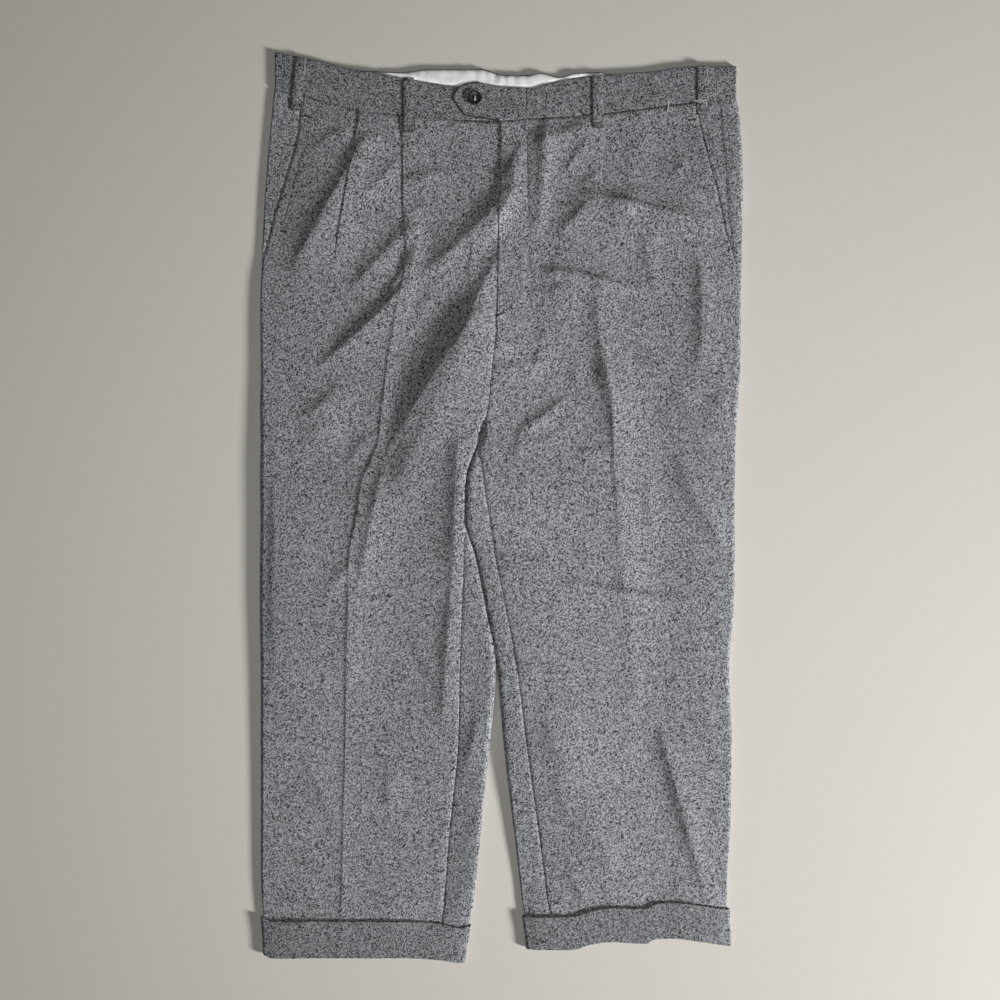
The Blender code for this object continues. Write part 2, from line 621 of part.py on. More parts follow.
def band_lift(x):
    return (BAND + GAP) * float(1 - rise((x - TAB_SEAM - 5) / LAP_FALL))


def band_row(half, across):
    """One row of a waistband half: from the centre front round the side fold to the centre back. across runs from
    the waist seam, 0, to the top edge, 1."""
    into = half.inward
    outer = BAND_OUTER[half.name] + into * (BAND / 2 - 1.0)
    quarter = pi * TURN / 2
    centre = UNDERLAP if half.name == "right" else TAB_SEAM + GAP / 2
    flat = abs(centre - outer) - TURN
    points = []
    for f in BAND_COLUMNS:
        x = outer + into * (TURN + flat * f)
        lift = band_lift(x) if half.name == "left" else 0.0
        points.append((x, waist_seam(x) + (band_top(x) - waist_seam(x)) * across, band_height(x) + lift))
    for way in (quarter, 2.0, 0.0, -2.0, -quarter):
        x = outer + into * TURN * (1 - np.cos(way / TURN))
        share = (1 + np.sin(way / TURN)) / 2
        low, high = [share * a(x) + (1 - share) * b(x) for a, b in ((waist_seam, back_seam), (band_top, back_top))]
        points.append((x, low + (high - low) * across, BAND / 2 + 2 * TURN * share))
    back_flat = abs(outer) - TURN - GAP / 2
    for f in BAND_BACK_COLUMNS:
        x = outer + into * (TURN + back_flat * f)
        points.append((x, back_seam(x) + (back_top(x) - back_seam(x)) * across, BAND / 2))
    return points


def make_waistband():
    for half in HALVES.values():
        make_sheet("waistband_" + half.name, [band_row(half, a) for a in (0, 0.33, 0.67, 1)], BAND, WOOL)


LINING_ENDS = (-134, 128)  # x of its two ends
LINING_TUCK = 14.0   # how far it runs down behind the front's top edge
LINING_EDGE = 1.8    # how far its own top edge stays below the back waistband's
GATHER = 0.35        # height of its little gathers


def make_lining():
    """White lining on the back waistband, gathered a little, from under the front's top edge to its own edge."""
    rows = []
    for across in (0, 0.4, 0.7, 1):
        row = []
        for x in np.linspace(*LINING_ENDS, 26):
            low, high = min(band_top(x), back_top(x)) - LINING_TUCK, back_top(x) - LINING_EDGE
            gather = GATHER * (1 + np.sin(x / 4.3) * np.sin(x / 11.0))
            row.append((x, low + (high - low) * across, BAND + GAP + LINING / 2 + gather * across))
        rows.append(row)
    make_sheet("waistband_lining", rows, LINING, LINING_CLOTH)


TAB = ("x low high", (
    (-46, 440, 442.5), (-43, 436, 447), (-38, 428, 452), (-33, 423.2, 454), (-22, 421.6, 455.5), (-10, 419.6, 454),
    (0, 418.4, 452), (14, 418.8, 450.8), (29, 419.6, 450.2),
))
TAB_COLUMNS = (-46, -44.5, -42, -38, -33, -25, -16, -8, 0, 9, 19, TAB_SEAM - GAP / 2)


def make_tab():
    """The pointed end of the left waistband, over the right one, from the upright seam at its other end."""
    outline = lines_of(TAB)
    rows = []
    for across in np.linspace(0, 1, 6):
        ends = [(x, float(outline["low"](x)), float(outline["high"](x))) for x in TAB_COLUMNS]
        rows.append([(x, low + (high - low) * across, band_height(x) + BAND + GAP) for x, low, high in ends])
    make_sheet("waist_tab", rows, BAND, WOOL)


LOOPS = ("name top_x top_y foot_x foot_y", (
    ("belt_loop_1", -205, 481.5, -211, 430),
    ("belt_loop_2", -93, 461, -93, 407),
    ("belt_loop_3", 104.5, 463.5, 105, 411),
    ("belt_loop_4", 214, 472.8, 214.5, 425),
))
LOOP_WIDTH = 11.0
LOOP_BOW = 1.0        # how far a loop stands off the waistband in its middle
LOOP_FOOT = 0.62      # share of its length at which it starts down over the waist seam


def make_loops():
    """Belt loops: straps from the waistband's top edge to just below its seam, bowed a little off it."""
    for name, top_x, top_y, foot_x, foot_y in LOOPS[1]:
        half = HALVES["right" if top_x < 0 else "left"]
        rows = []
        for f in (0, 0.06, 0.2, 0.4, 0.6, 0.74, 0.86, 1):
            x, y = top_x + (foot_x - top_x) * f, top_y + (foot_y - top_y) * f
            bow = LOOP_BOW * np.sin(pi * min(f / 0.8, 1)) ** 0.7
            row = []
            for across in (-0.5, 0, 0.5):
                place = x + across * LOOP_WIDTH
                under = band_height(place) + BAND / 2
                if f > LOOP_FOOT:
                    under = max(under, panel_top(half, foot_x))
                row.append((place, y, under + GAP + STRAP / 2 + bow))
            rows.append(row)
        make_sheet(name, rows, STRAP, WOOL)


def panel_top(half, x):
    """Highest point of the front's outer surface below the waist seam, under a loop's foot."""
    near = [p for row in (430, 415, 396) for p in front_row(half, row) if abs(p[0] - x) < LOOP_WIDTH + 3]
    return max(p[2] for p in near) + CLOTH / 2


BUTTON_PLACE = (-23.5, 438.0)
BUTTON_PROFILE = ("radius height", (  # from the middle of its underside round the rim to the middle of its top
    (0, 0), (5.4, 0), (6.9, 0.5), (7.5, 1.4), (7.1, 2.3), (6.2, 2.6), (5.2, 2.1), (4.4, 1.7), (0, 1.6),
))
HOLES = {"count": 4, "radius": 0.8, "out": 1.7, "turned": pi / 4 + 0.11}


def make_button():
    """Four-hole button with a raised rim, on the tab."""
    x, y = BUTTON_PLACE
    base = band_height(x) + 1.5 * BAND + 2 * GAP
    mesh = bmesh.new()
    points = [mesh.verts.new((radius, 0, height)) for radius, height in BUTTON_PROFILE[1]]
    edges = [mesh.edges.new(pair) for pair in zip(points, points[1:])]
    bmesh.ops.spin(mesh, geom=points + edges, axis=(0, 0, 1), cent=(0, 0, 0), steps=24, angle=2 * pi,
                   use_merge=True, use_duplicate=False)
    bmesh.ops.remove_doubles(mesh, verts=mesh.verts, dist=1e-4)
    bmesh.ops.translate(mesh, verts=mesh.verts, vec=(x, y, base))
    button = make_object("waist_button", mesh, HORN)
    for k in range(HOLES["count"]):
        angle = HOLES["turned"] + k * 2 * pi / HOLES["count"]
        hole = bmesh.new()
        bmesh.ops.create_cone(hole, cap_ends=True, segments=8, radius1=HOLES["radius"], radius2=HOLES["radius"],
                              depth=6)
        bmesh.ops.translate(hole, verts=hole.verts, vec=(
            x + HOLES["out"] * np.cos(angle), y + HOLES["out"] * np.sin(angle), base + 1))
        cutter = make_object("button_hole_%d" % (k + 1), hole, HORN)
        cutter.hide_render = True
        cutter.display_type = "WIRE"
        cut = button.modifiers.new("hole", "BOOLEAN")
        cut.operation = "DIFFERENCE"
        cut.object = cutter


def make_cuffs():
    for half in HALVES.values():
        make_sheet("cuff_" + half.name, cuff_rows(half), CLOTH, WOOL, closed=True)


for old in list(bpy.data.objects):
    bpy.data.objects.remove(old, do_unlink=True)
make_fronts()
make_backs()
make_facings()
make_waistband()
make_lining()
make_tab()
make_loops()
make_button()
make_cuffs()
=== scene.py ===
# Pleated dress trousers in grey wool, laid flat with the front up. The waist points to +Y, and the wearer's
# right half lies towards -X. Tables and sizes are in millimetres, and become metres where a mesh is made.
import bpy
import bmesh
import numpy as np
from math import pi, radians
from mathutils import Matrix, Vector
from mathutils.bvhtree import BVHTree


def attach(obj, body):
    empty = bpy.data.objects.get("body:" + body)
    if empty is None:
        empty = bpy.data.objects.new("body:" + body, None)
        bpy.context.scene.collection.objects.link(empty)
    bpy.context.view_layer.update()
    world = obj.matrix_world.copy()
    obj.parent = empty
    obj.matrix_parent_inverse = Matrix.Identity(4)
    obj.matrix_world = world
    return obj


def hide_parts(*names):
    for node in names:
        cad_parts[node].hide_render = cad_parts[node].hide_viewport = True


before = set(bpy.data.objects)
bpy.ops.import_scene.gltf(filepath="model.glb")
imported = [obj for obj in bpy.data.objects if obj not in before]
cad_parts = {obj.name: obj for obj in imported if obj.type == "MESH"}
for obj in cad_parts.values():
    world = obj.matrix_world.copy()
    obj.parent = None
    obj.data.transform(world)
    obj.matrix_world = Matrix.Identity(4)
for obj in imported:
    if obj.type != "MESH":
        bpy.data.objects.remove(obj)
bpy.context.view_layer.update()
print("Frame loaded,", len(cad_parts), "nodes")

cloth = {
    "wall": 0.5,         # suiting, as seen at its cut edges
    "turn": 1.75,        # radius of a laid edge
    "loft": 0.8,         # how much the middle of a leg stands above its edges
    "waistDrop": 0.5,    # how much the fronts sink at the waist seam
    "gap": 0.4,          # between pieces at a seam
    "layer": 1.2,        # from one layer of cloth to the next
    "belly": 1.8,        # how much the hips swell between the waist and the crotch
    "waist": 430.0,      # where the waist seam is measured
    "crotch": 112.0,     # where the legs start to part
    "crotchRun": 40.0,
    "sinkFrom": 60.0,    # where the legs' tops start to fall away to their inner edges
    "sinkRun": 150.0,
    "legEnd": 5.0,       # how far the leg stops short of the hem, inside the turn-up
    "overCuff": 1.3,     # how much a leg rises over its turn-up
    "ripples": ((0.34, 46, 5, 1.5), (0.11, 15, 8, 1.4)),  # height, size, seed and stretch
    "sideGap": 0.25,     # how much wider a seam's gap is on the laid edge, to each side
    "kneeRow": -120.0,   # where the rows start to lie further apart
    "clear": 0.03,       # how far the lowest cloth stays off the floor
    "bendFrom": 300.0,   # from here up the rows bend to the waist seam
    "shift": (-0.1, -0.2, 0.0),
}
floorMid = cloth["wall"] / 2 + cloth["clear"]  # middle of the layer that lies on the floor
edgeMid = floorMid + 2 * cloth["turn"]         # middle of the layer on top, at a laid edge

# Sections across each half: outer edge, small pleat, pressed crease, centre or inside-leg seam, inner edge.
rightSections = ("y edge tuck crease seam inner", (
    (450, -232, -141, -99, 3, 3), (400, -238, -148, -99, 4, 4), (340, -245, -159, -99, 2, 2),
    (280, -249, -170, -96, 1, 1), (220, -251, -180, -106, 0, 0), (160, -251, -190, -117, -6, -6),
    (120, -252, -197, -122, -10, -10), (80, -252, -202, -127, -21, -21), (40, -253, -205, -144, -33, -33),
    (0, -253, -207, -150, -36, -34), (-40, -254, -208, -158, -36, -23), (-100, -255, -209, -160, -38, -11),
    (-160, -255, -210, -162, -40, -1), (-240, -256, -212, -164, -42, -8),
    (-320, -257, -214, -167, -50, -16), (-400, -258, -216, -169, -57, -24),
    (-482, -256, -218, -174, -63, -36),
))
leftSections = ("y edge tuck crease seam inner", (
    (450, 248, 152, 110, 3, 3), (400, 255, 161, 110, 4, 4), (340, 258, 168, 107, 2, 2),
    (280, 257, 172, 103, 1, 1), (220, 257, 176, 101, 0, 0), (160, 257, 180, 112, -6, -6),
    (120, 255, 183, 119, -10, -10), (80, 253, 185, 122, -19, -21), (40, 253, 186, 124, -15, -33),
    (0, 253, 187, 127, -9, -34), (-40, 254, 188, 127, -3, -23), (-100, 253, 189, 131, 9, -11),
    (-160, 249, 190, 137, 20, -1), (-240, 253, 196, 144, 30, 6), (-320, 253, 201, 152, 41, 15),
    (-400, 250, 205, 157, 52, 25), (-470, 256, 208, 161, 60, 32),
))
# Pocket mouth and side seam, as the way along the cloth from the outer edge: positive on top, negative beneath.
rightSide = ("y mouth side", (
    (450, 30, -28), (400, 31, -28), (350, 22, -28), (320, 13, -28), (300, 9, -28), (280, 4, -28),
    (262, 1.5, -28), (240, 0, -28), (215, -2, -28), (190, -4.5, -28), (165, -12, -28), (140, -20, -28),
    (115, -28, -28), (-490, -28, -28),
))
leftSide = ("y mouth side", (
    (450, 46, 17), (400, 43, 22), (360, 36, 21), (340, 30, 20), (320, 25, 18), (300, 20, 15), (280, 13, 12),
    (265, 9, 9), (250, 5, 5), (225, 1, 1), (195, -2, -2), (160, -4.5, -4.5), (110, -8, -8), (-490, -8, -8),
))
# Lines across the garment: x, then y.
waistSeamLine = ("x y", (
    (-232, 450), (-197, 442), (-172, 436), (-142, 428), (-100, 424), (-44, 419), (0, 417.6), (38, 420),
    (97, 424), (150, 430), (205, 437), (248, 441),
))
bandTopLine = ("x y", (
    (-230, 487), (-186, 478), (-159, 471), (-125, 466), (-93, 460), (-48, 453), (0, 451), (34, 450),
    (49, 454), (81, 461), (112, 464), (159, 467), (200, 472), (247, 473),
))
backSeamLine = ("x y", ((-232, 450), (-160, 437), (-100, 433), (0, 430), (100, 432), (180, 435), (248, 441)))
backTopLine = ("x y", (
    (-230, 487), (-186, 477), (-159, 471), (-127, 469), (-102, 468), (-71, 471), (-19, 471), (8, 465),
    (29, 465), (44, 467), (65, 463), (81, 467), (107, 468), (120, 466), (159, 467), (200, 472), (247, 473),
))
rightHemLine = ("x y", (
    (-257, -476), (-247, -481), (-195, -480), (-106, -480), (-65, -482), (-40, -486), (-30, -483),
))
leftHemLine = ("x y", (
    (30, -471), (81, -471), (101, -465), (123, -462), (160, -464), (172, -459), (190, -458), (222, -462),
    (256, -468),
))
cuffDepthLine = ("x y", ((-257, 42), (-60, 41), (-30, 39), (30, 37), (100, 38), (170, 40), (256, 41)))


def ease(t):
    t = np.clip(t, 0.0, 1.0)
    return t * t * (3.0 - 2.0 * t)


def smoothLine(knots, values):
    # a curve through a table's rows that never swings past one
    order = np.argsort(knots)
    k, v = np.asarray(knots, float)[order], np.asarray(values, float)[order]
    step, grade = np.diff(k), np.diff(v) / np.diff(k)
    slope = np.zeros(len(k))
    for i in range(1, len(k) - 1):
        if grade[i - 1] * grade[i] > 0:
            before, after = 2 * step[i] + step[i - 1], step[i] + 2 * step[i - 1]
            slope[i] = (before + after) / (before / grade[i - 1] + after / grade[i])
    slope[0], slope[-1] = grade[0], grade[-1]

    def at(p):
        p = np.clip(p, k[0], k[-1])
        i = np.clip(np.searchsorted(k, p) - 1, 0, len(k) - 2)
        h = k[i + 1] - k[i]
        t = (p - k[i]) / h
        a = v[i] * (1 + 2 * t) * (1 - t) ** 2 + h * slope[i] * t * (1 - t) ** 2
        b = v[i + 1] * t * t * (3 - 2 * t) - h * slope[i + 1] * t * t * (1 - t)
        return a + b

    return at


def linesOf(table):
    names, rows = table
    columns = np.array(rows, float).T
    return {name: smoothLine(columns[0], column) for name, column in zip(names.split()[1:], columns[1:])}


waistSeam, bandTop = linesOf(waistSeamLine)["y"], linesOf(bandTopLine)["y"]
backSeam, backTop = linesOf(backSeamLine)["y"], linesOf(backTopLine)["y"]
cuffDepth = linesOf(cuffDepthLine)["y"]

# Folds and creases of the front, by the start, middle and end of each line. left is the reach of its flank
# towards -X or up the garment, right that of the other one; point is 1 for a pressed edge, 2 for a round one.
frontCreases = ("x0 y0 x1 y1 x2 y2 left right rise point", (
    (-127, 415, -176, 331, -227, 243, 9, 30, 4.2, 1.3),  # wearer's right: from the small pleat down to the side
    (-118, 441, -167, 351, -208, 231, 52, 46, 3, 1.9),
    (-112, 405, -133, 398, -154, 388, 6, 9, 1.4, 1.3),
    (-146, 415, -173, 400, -205, 380, 5, 9, 1.3, 1.3),
    (-98, 384, -119, 359, -151, 324, 6, 12, 2, 1.4),
    (-79, 318, -117, 280, -164, 231, 10, 18, 3.8, 1.4),
    (-88, 289, -99, 260, -120, 234, 5, 10, 2.6, 1.2),  # from the main pleat to the side
    (-90, 256, -134, 208, -210, 144, 8, 20, 4.8, 1.25),
    (-83, 303, -91, 257, -99, 201, 4, 9, 1.8, 1.3),
    (-2, 235, -57, 168, -131, 45, 11, 22, 4.8, 1.3),  # long ridge from the fly to the crease
    (5, 233, -57, 134, -141, -47, 26, 44, 6.6, 1.6),
    (7, 287, -18, 239, -40, 195, 11, 14, 4.2, 1.35),
    (2, 303, -19, 126, -13, -130, 110, 130, 5.6, 1.7),  # broad swell beside the fly and inside leg
    (11, 349, -35, 293, -99, 241, 14, 20, 5.4, 1.35),
    (15, 386, 11, 334, -25, 287, 14, 10, 5, 1.4),
    (-21, 303, -28, 274, -27, 245, 3.5, 7, 1.2, 1.3),
    (-52, 262, -70, 235, -91, 201, 9, 12, 1.6, 1.5),
    (-100, 404, -83, 405, -64, 407, 4, 8, 1.2, 1.3),
    (-100, 389, -87, 391, -73, 393, 3, 6, 0.9, 1.3),
    (-100, 354, -75, 361, -39, 363, 5, 14, 2.2, 1.4),
    (-100, 317, -90, 321, -77, 330, 4, 8, 1.4, 1.3),
    (-96, 295, -87, 302, -76, 314, 4, 8, 1.2, 1.3),
    (-167, 138, -188, 121, -222, 101, 5, 12, 1.6, 1.4),
    (-152, 155, -178, 113, -206, 58, 18, 24, 2.8, 1.8),
    (-120, 130, -131, 115, -145, 99, 5, 8, 1, 1.4),
    (-125, 91, -146, 77, -162, 51, 6, 10, 1.6, 1.4),
    (-133, 83, -156, -60, -161, -239, 110, 36, 4.4, 1.6),  # along the pressed crease
    (-119, 66, -134, -2, -152, -94, 8, 14, 3.2, 1.2),
    (-153, -40, -171, -66, -190, -89, 10, 8, 1.8, 1.7),
    (-42, 94, -44, 20, -52, -130, 10, 12, 3.6, 1.3),  # along the inside of the leg
    (-49, -66, -55, -152, -62, -237, 8, 14, 3, 1.3),
    (-47, -40, -72, -51, -100, -60, 4, 5, 0.8, 1.4),
    (-98, -122, -79, -152, -61, -187, 4, 8, 1.2, 1.4),
    (-21, -211, -28, -244, -35, -281, 6, 8, 1.8, 1.5),
    (-215, -241, -192, -296, -165, -346, 4, 10, 1.2, 1.4),
    (-187, -373, -171, -388, -158, -406, 3, 7, 0.8, 1.3),
    (-118, -256, -118, -287, -121, -329, 5, 12, 1.4, 1.5),
    (-159, -406, -157, -421, -156, -433, 3, 6, 0.6, 1.3),
    (107, 426, 71, 406, 32, 389, 6, 14, 2.4, 1.4),  # wearer's left: from the loop to the fly
    (102, 411, 82, 380, 61, 351, 4, 9, 1.6, 1.3),
    (108, 364, 97, 357, 85, 350, 3, 7, 1.4, 1.3),
    (80, 349, 124, 334, 170, 328, 8, 18, 3.6, 1.3),  # across the hip
    (105, 338, 166, 324, 239, 312, 9, 24, 2.8, 1.3),
    (53, 343, 128, 326, 216, 318, 20, 40, 2.4, 1.7),
    (149, 328, 191, 315, 239, 305, 9, 22, 2.2, 1.3),
    (132, 344, 147, 345, 164, 343, 4, 6, 1, 1.4),
    (189, 353, 218, 343, 256, 338, 5, 8, 0.9, 1.5),
    (196, 378, 188, 365, 179, 352, 4, 7, 1.2, 1.4),
    (98, 335, 80, 316, 56, 290, 6, 10, 2, 1.4),
    (50, 439, 49, 363, 38, 289, 14, 9, 3.8, 1.4),
    (48, 425, 46, 386, 42, 334, 8, 10, 1.2, 1.3),
    (27, 396, 17, 376, 6, 355, 5, 12, 1.4, 1.4),
    (38, 260, 87, 257, 150, 238, 4.5, 18, 4, 1.25),  # below the fly
    (91, 258, 129, 246, 175, 231, 4, 12, 2.2, 1.25),
    (51, 243, 70, 238, 91, 229, 4, 8, 2, 1.3),
    (149, 303, 160, 266, 170, 224, 4, 9, 1.8, 1.4),
    (210, 283, 215, 218, 211, 136, 7, 12, 2.8, 1.4),
    (102, 251, 109, 178, 115, 115, 7, 14, 2.8, 1.4),  # along the wearer's left crease
    (110, 183, 121, 120, 123, 47, 8, 18, 3.4, 1.25),
    (119, 83, 129, -2, 136, -109, 4, 14, 0.8, 1.3),
    (118, 178, 130, 30, 149, -206, 90, 34, 4.4, 1.5),
    (81, 71, 100, 71, 121, 71, 4, 7, 1.8, 1.3),
    (-10, 181, 17, 183, 45, 188, 6, 9, 1.8, 1.5),
    (-10, 160, 24, 161, 78, 172, 6, 11, 2.6, 1.4),
    (52, 205, 45, 183, 40, 153, 4, 8, 1.4, 1.4),
    (21, 97, 50, 109, 79, 138, 6, 11, 3.2, 1.3),
    (25, 60, 23, 83, 31, 103, 5, 10, 1.8, 1.4),
    (30, 77, 62, 90, 93, 106, 4, 8, 1.2, 1.4),
    (86, 180, 84, 161, 80, 140, 4, 7, 1, 1.4),
    (150, 189, 182, 153, 225, 121, 6, 13, 2.8, 1.4),
    (254, 140, 239, 124, 216, 110, 10, 12, 1.6, 1.8),
    (169, 125, 195, 100, 246, 84, 5, 11, 1.5, 1.4),
    (158, 56, 161, 14, 170, -32, 4, 10, 1.4, 1.4),
    (189, 73, 215, 14, 265, -57, 9, 15, 3, 1.5),
    (-10, -37, 37, -45, 99, -68, 4, 16, 3.4, 1.2),  # across the knee
    (51, -57, 128, -77, 233, -92, 4, 18, 4.6, 1.2),
    (17, -139, 28, -156, 38, -172, 5, 8, 1.4, 1.3),
    (70, -66, 59, -98, 65, -126, 4, 9, 1.1, 1.4),
    (70, -126, 102, -124, 127, -113, 4, 8, 1, 1.4),
    (153, -87, 160, -100, 165, -114, 3, 7, 0.9, 1.4),
    (199, -117, 214, -123, 230, -126, 3, 7, 0.8, 1.4),
    (130, -44, 141, -130, 150, -248, 4, 16, 0.8, 1.3),
    (-6, 115, 5, -87, 46, -393, 110, 112, 7.4, 1.7),  # broad swell down the leg
    (62, -174, 93, -305, 137, -443, 46, 56, 3.4, 1.7),  # down the thigh to the turn-up
    (41, -195, 68, -256, 74, -307, 12, 26, 2.2, 1.6),
    (49, -281, 68, -300, 74, -329, 4, 8, 1.4, 1.4),
    (72, -327, 100, -338, 124, -364, 4, 8, 1.4, 1.4),
    (170, -208, 197, -305, 233, -432, 9, 18, 3.6, 1.4),
    (104, -349, 117, -362, 130, -393, 4, 10, 1.1, 1.4),
    (71, -380, 85, -397, 98, -428, 4, 12, 1.4, 1.4),
    (76, 35, 69, 25, 63, 14, 4, 8, 0.8, 1.5),
    (149, 324, 160, 301, 165, 270, 4, 9, 0.8, 1.4),
    (93, 220, 97, 197, 102, 176, 4, 8, 0.8, 1.4),
    (31, 441, 31, 376, 32, 293, 1.7, 1.7, -0.7, 2),  # stitched line of the fly
    (32, 355, 32, 270, 26, 237, 1.7, 1.7, -0.7, 2),
    (35, 270, 28, 231, -2, 216, 1.8, 1.8, -0.8, 2),
))
# The underside is pushed up into soft troughs, as the front is.
backCreases = ("x0 y0 x1 y1 x2 y2 left right rise point", (
    (-160, 400, -163, 200, -168, -420, 4, 6, 0.9, 1.2),
    (150, 400, 152, 200, 158, -420, 4, 6, 0.9, 1.2),
    (-20, 190, -80, 150, -170, 120, 9, 14, 1.8, 1.5),
    (-30, 120, -90, 60, -150, -20, 8, 12, 1.5, 1.5),
    (12, 180, 70, 150, 150, 140, 9, 13, 1.7, 1.5),
    (15, 90, 80, 40, 160, 10, 8, 12, 1.5, 1.5),
    (-200, 300, -150, 280, -90, 270, 7, 10, 1.1, 1.5),
    (200, 330, 150, 310, 100, 318, 7, 10, 1.1, 1.5),
    (-60, -60, -110, -75, -190, -70, 7, 9, 1.2, 1.5),
    (50, -90, 110, -100, 200, -80, 7, 9, 1.2, 1.5),
    (-80, -280, -120, -320, -190, -330, 6, 9, 0.9, 1.5),
    (70, -300, 120, -330, 210, -350, 6, 9, 0.9, 1.5),
))


def creaseCurves(table):
    made = []
    names, rows = table
    for row in rows:
        c = dict(zip(names.split(), row))
        t = np.linspace(0, 1, 15)
        bow = [2 * c[a + "1"] - (c[a + "0"] + c[a + "2"]) / 2 for a in "xy"]
        points = np.stack([(1 - t) ** 2 * c[a + "0"] + 2 * t * (1 - t) * b + t * t * c[a + "2"]
                           for a, b in zip("xy", bow)], 1)
        run = points[-1] - points[0]
        leftward = np.array((-run[1], run[0])) / np.hypot(*run)
        if leftward[1] - leftward[0] < 0:
            leftward = -leftward
        made.append((points, leftward, c["left"], c["right"], c["rise"], c["point"]))
    return made


def relief(x, y, curves):
    x, y = np.broadcast_arrays(x, y)
    total = np.zeros(x.shape)
    for points, leftward, left, right, height, point in curves:
        reach = 3.5 * max(left, right)
        low, high = points.min(0) - reach, points.max(0) + reach
        near = (x > low[0]) & (x < high[0]) & (y > low[1]) & (y < high[1])
        px, py = x[near], y[near]
        best, share, side = np.full(px.shape, 1e9), np.zeros(px.shape), np.zeros(px.shape)
        for i, (a, b) in enumerate(zip(points[:-1], points[1:])):
            d = b - a
            t = np.clip(((px - a[0]) * d[0] + (py - a[1]) * d[1]) / (d @ d), 0, 1)
            ox, oy = px - a[0] - d[0] * t, py - a[1] - d[1] * t
            away = np.hypot(ox, oy)
            closer = away < best
            best = np.where(closer, away, best)
            share = np.where(closer, (i + t) / (len(points) - 1), share)
            side = np.where(closer, ox * leftward[0] + oy * leftward[1], side)
        fade = ease(share / 0.3) * ease((1 - share) / 0.36)
        flank = (right + (left - right) * ease(0.5 + side / (0.8 * min(left, right)))) * (0.5 + 0.5 * fade)
        total[near] += height * np.exp(-(best / flank) ** point) * fade
    return total


def ripple(x, y, size, seed, stretch=1.0):
    # smooth unevenness between -1 and 1, with features of about the given size
    source = np.random.default_rng(seed)
    total = np.zeros(np.broadcast(x, y).shape)
    for k in range(14):
        angle, phase = source.uniform(0, 2 * pi, 2)
        pitch = 2 * pi / (size * source.uniform(1.4, 2.8))
        total += np.sin(pitch * (x * np.cos(angle) + y * np.sin(angle) / stretch) + phase)
    return total / 5.0


class Half:
    def __init__(self, name, sections, side, hem, nominalHem, lifts):
        self.name, self.inward = name, 1 if name == "right" else -1
        self.line = linesOf(sections) | linesOf(side)
        self.hem = linesOf(hem)["y"]
        self.nominalHem, self.nominalCuff = nominalHem, nominalHem + 40
        self.lift = linesOf(lifts)
        # how much the folds raise the inner edge, set by settleRims
        self.rim = smoothLine((-500, 500), (0, 0))


# How much higher than elsewhere the laid edge and the inner edge stand, and how square the inner edge is
# where the legs lie against each other: 0 is round
rightLifts = ("y edge inner square", (
    (450, 0, 0, 0), (300, 0, 0, 0), (240, 1.6, 0, 0), (112, 3.0, 0.4, 1), (60, 3.8, 0.4, 1),
    (10, 3.8, 0.4, 1), (-40, 3.6, 0.5, 0.8), (-100, 3.2, 1.0, 0.3), (-260, 1.6, 2.4, 0),
    (-400, 0.6, 2.6, 0), (-436, 0, 1.2, 0), (-452, 0, 0, 0), (-490, 0, 0, 0),
))
leftLifts = ("y edge inner square", (
    (450, 0, 0, 0), (425, 0, 0, 0), (360, 5.0, 0, 0), (200, 5.6, 0, 0), (112, 5.4, 0.4, 1),
    (60, 5.2, 0.4, 1), (10, 5.0, 0.4, 1), (-60, 4.8, 0.4, 0.7), (-160, 4.4, 0.2, 0.2), (-300, 3.4, 0, 0),
    (-400, 1.6, 0, 0), (-430, 0, 0, 0), (-490, 0, 0, 0),
))
rightHalf = Half("right", rightSections, rightSide, rightHemLine, -481.0, rightLifts)
leftHalf = Half("left", leftSections, leftSide, leftHemLine, -465.0, leftLifts)
halves = (rightHalf, leftHalf)
topCurves, underCurves = creaseCurves(frontCreases), creaseCurves(backCreases)


def parting(y):
    return ease((cloth["crotch"] - y) / cloth["crotchRun"])


def floorHeight(half, y):
    return floorMid + cloth["layer"] * ease((half.nominalCuff + 20 - y) / 15)


def bent(half, x, y, beneath=False):
    # the rows bend to the waist seam and to the hem
    seam = np.where(beneath, backSeam(x), waistSeam(x))
    upper = ease((y - cloth["bendFrom"]) / (cloth["waist"] - cloth["bendFrom"]))
    atWaist = (seam - cloth["gap"] - cloth["waist"]) * upper
    atHem = (half.hem(x) - half.nominalHem) * ease((half.nominalCuff + 90 - y) / 70)
    return y + atWaist + atHem


def turnRadius(half, y, line):
    rim = half.rim(y) if line == "inner" else 0.0
    return (edgeMid + half.lift[line](y) + rim - floorHeight(half, y)) / 2


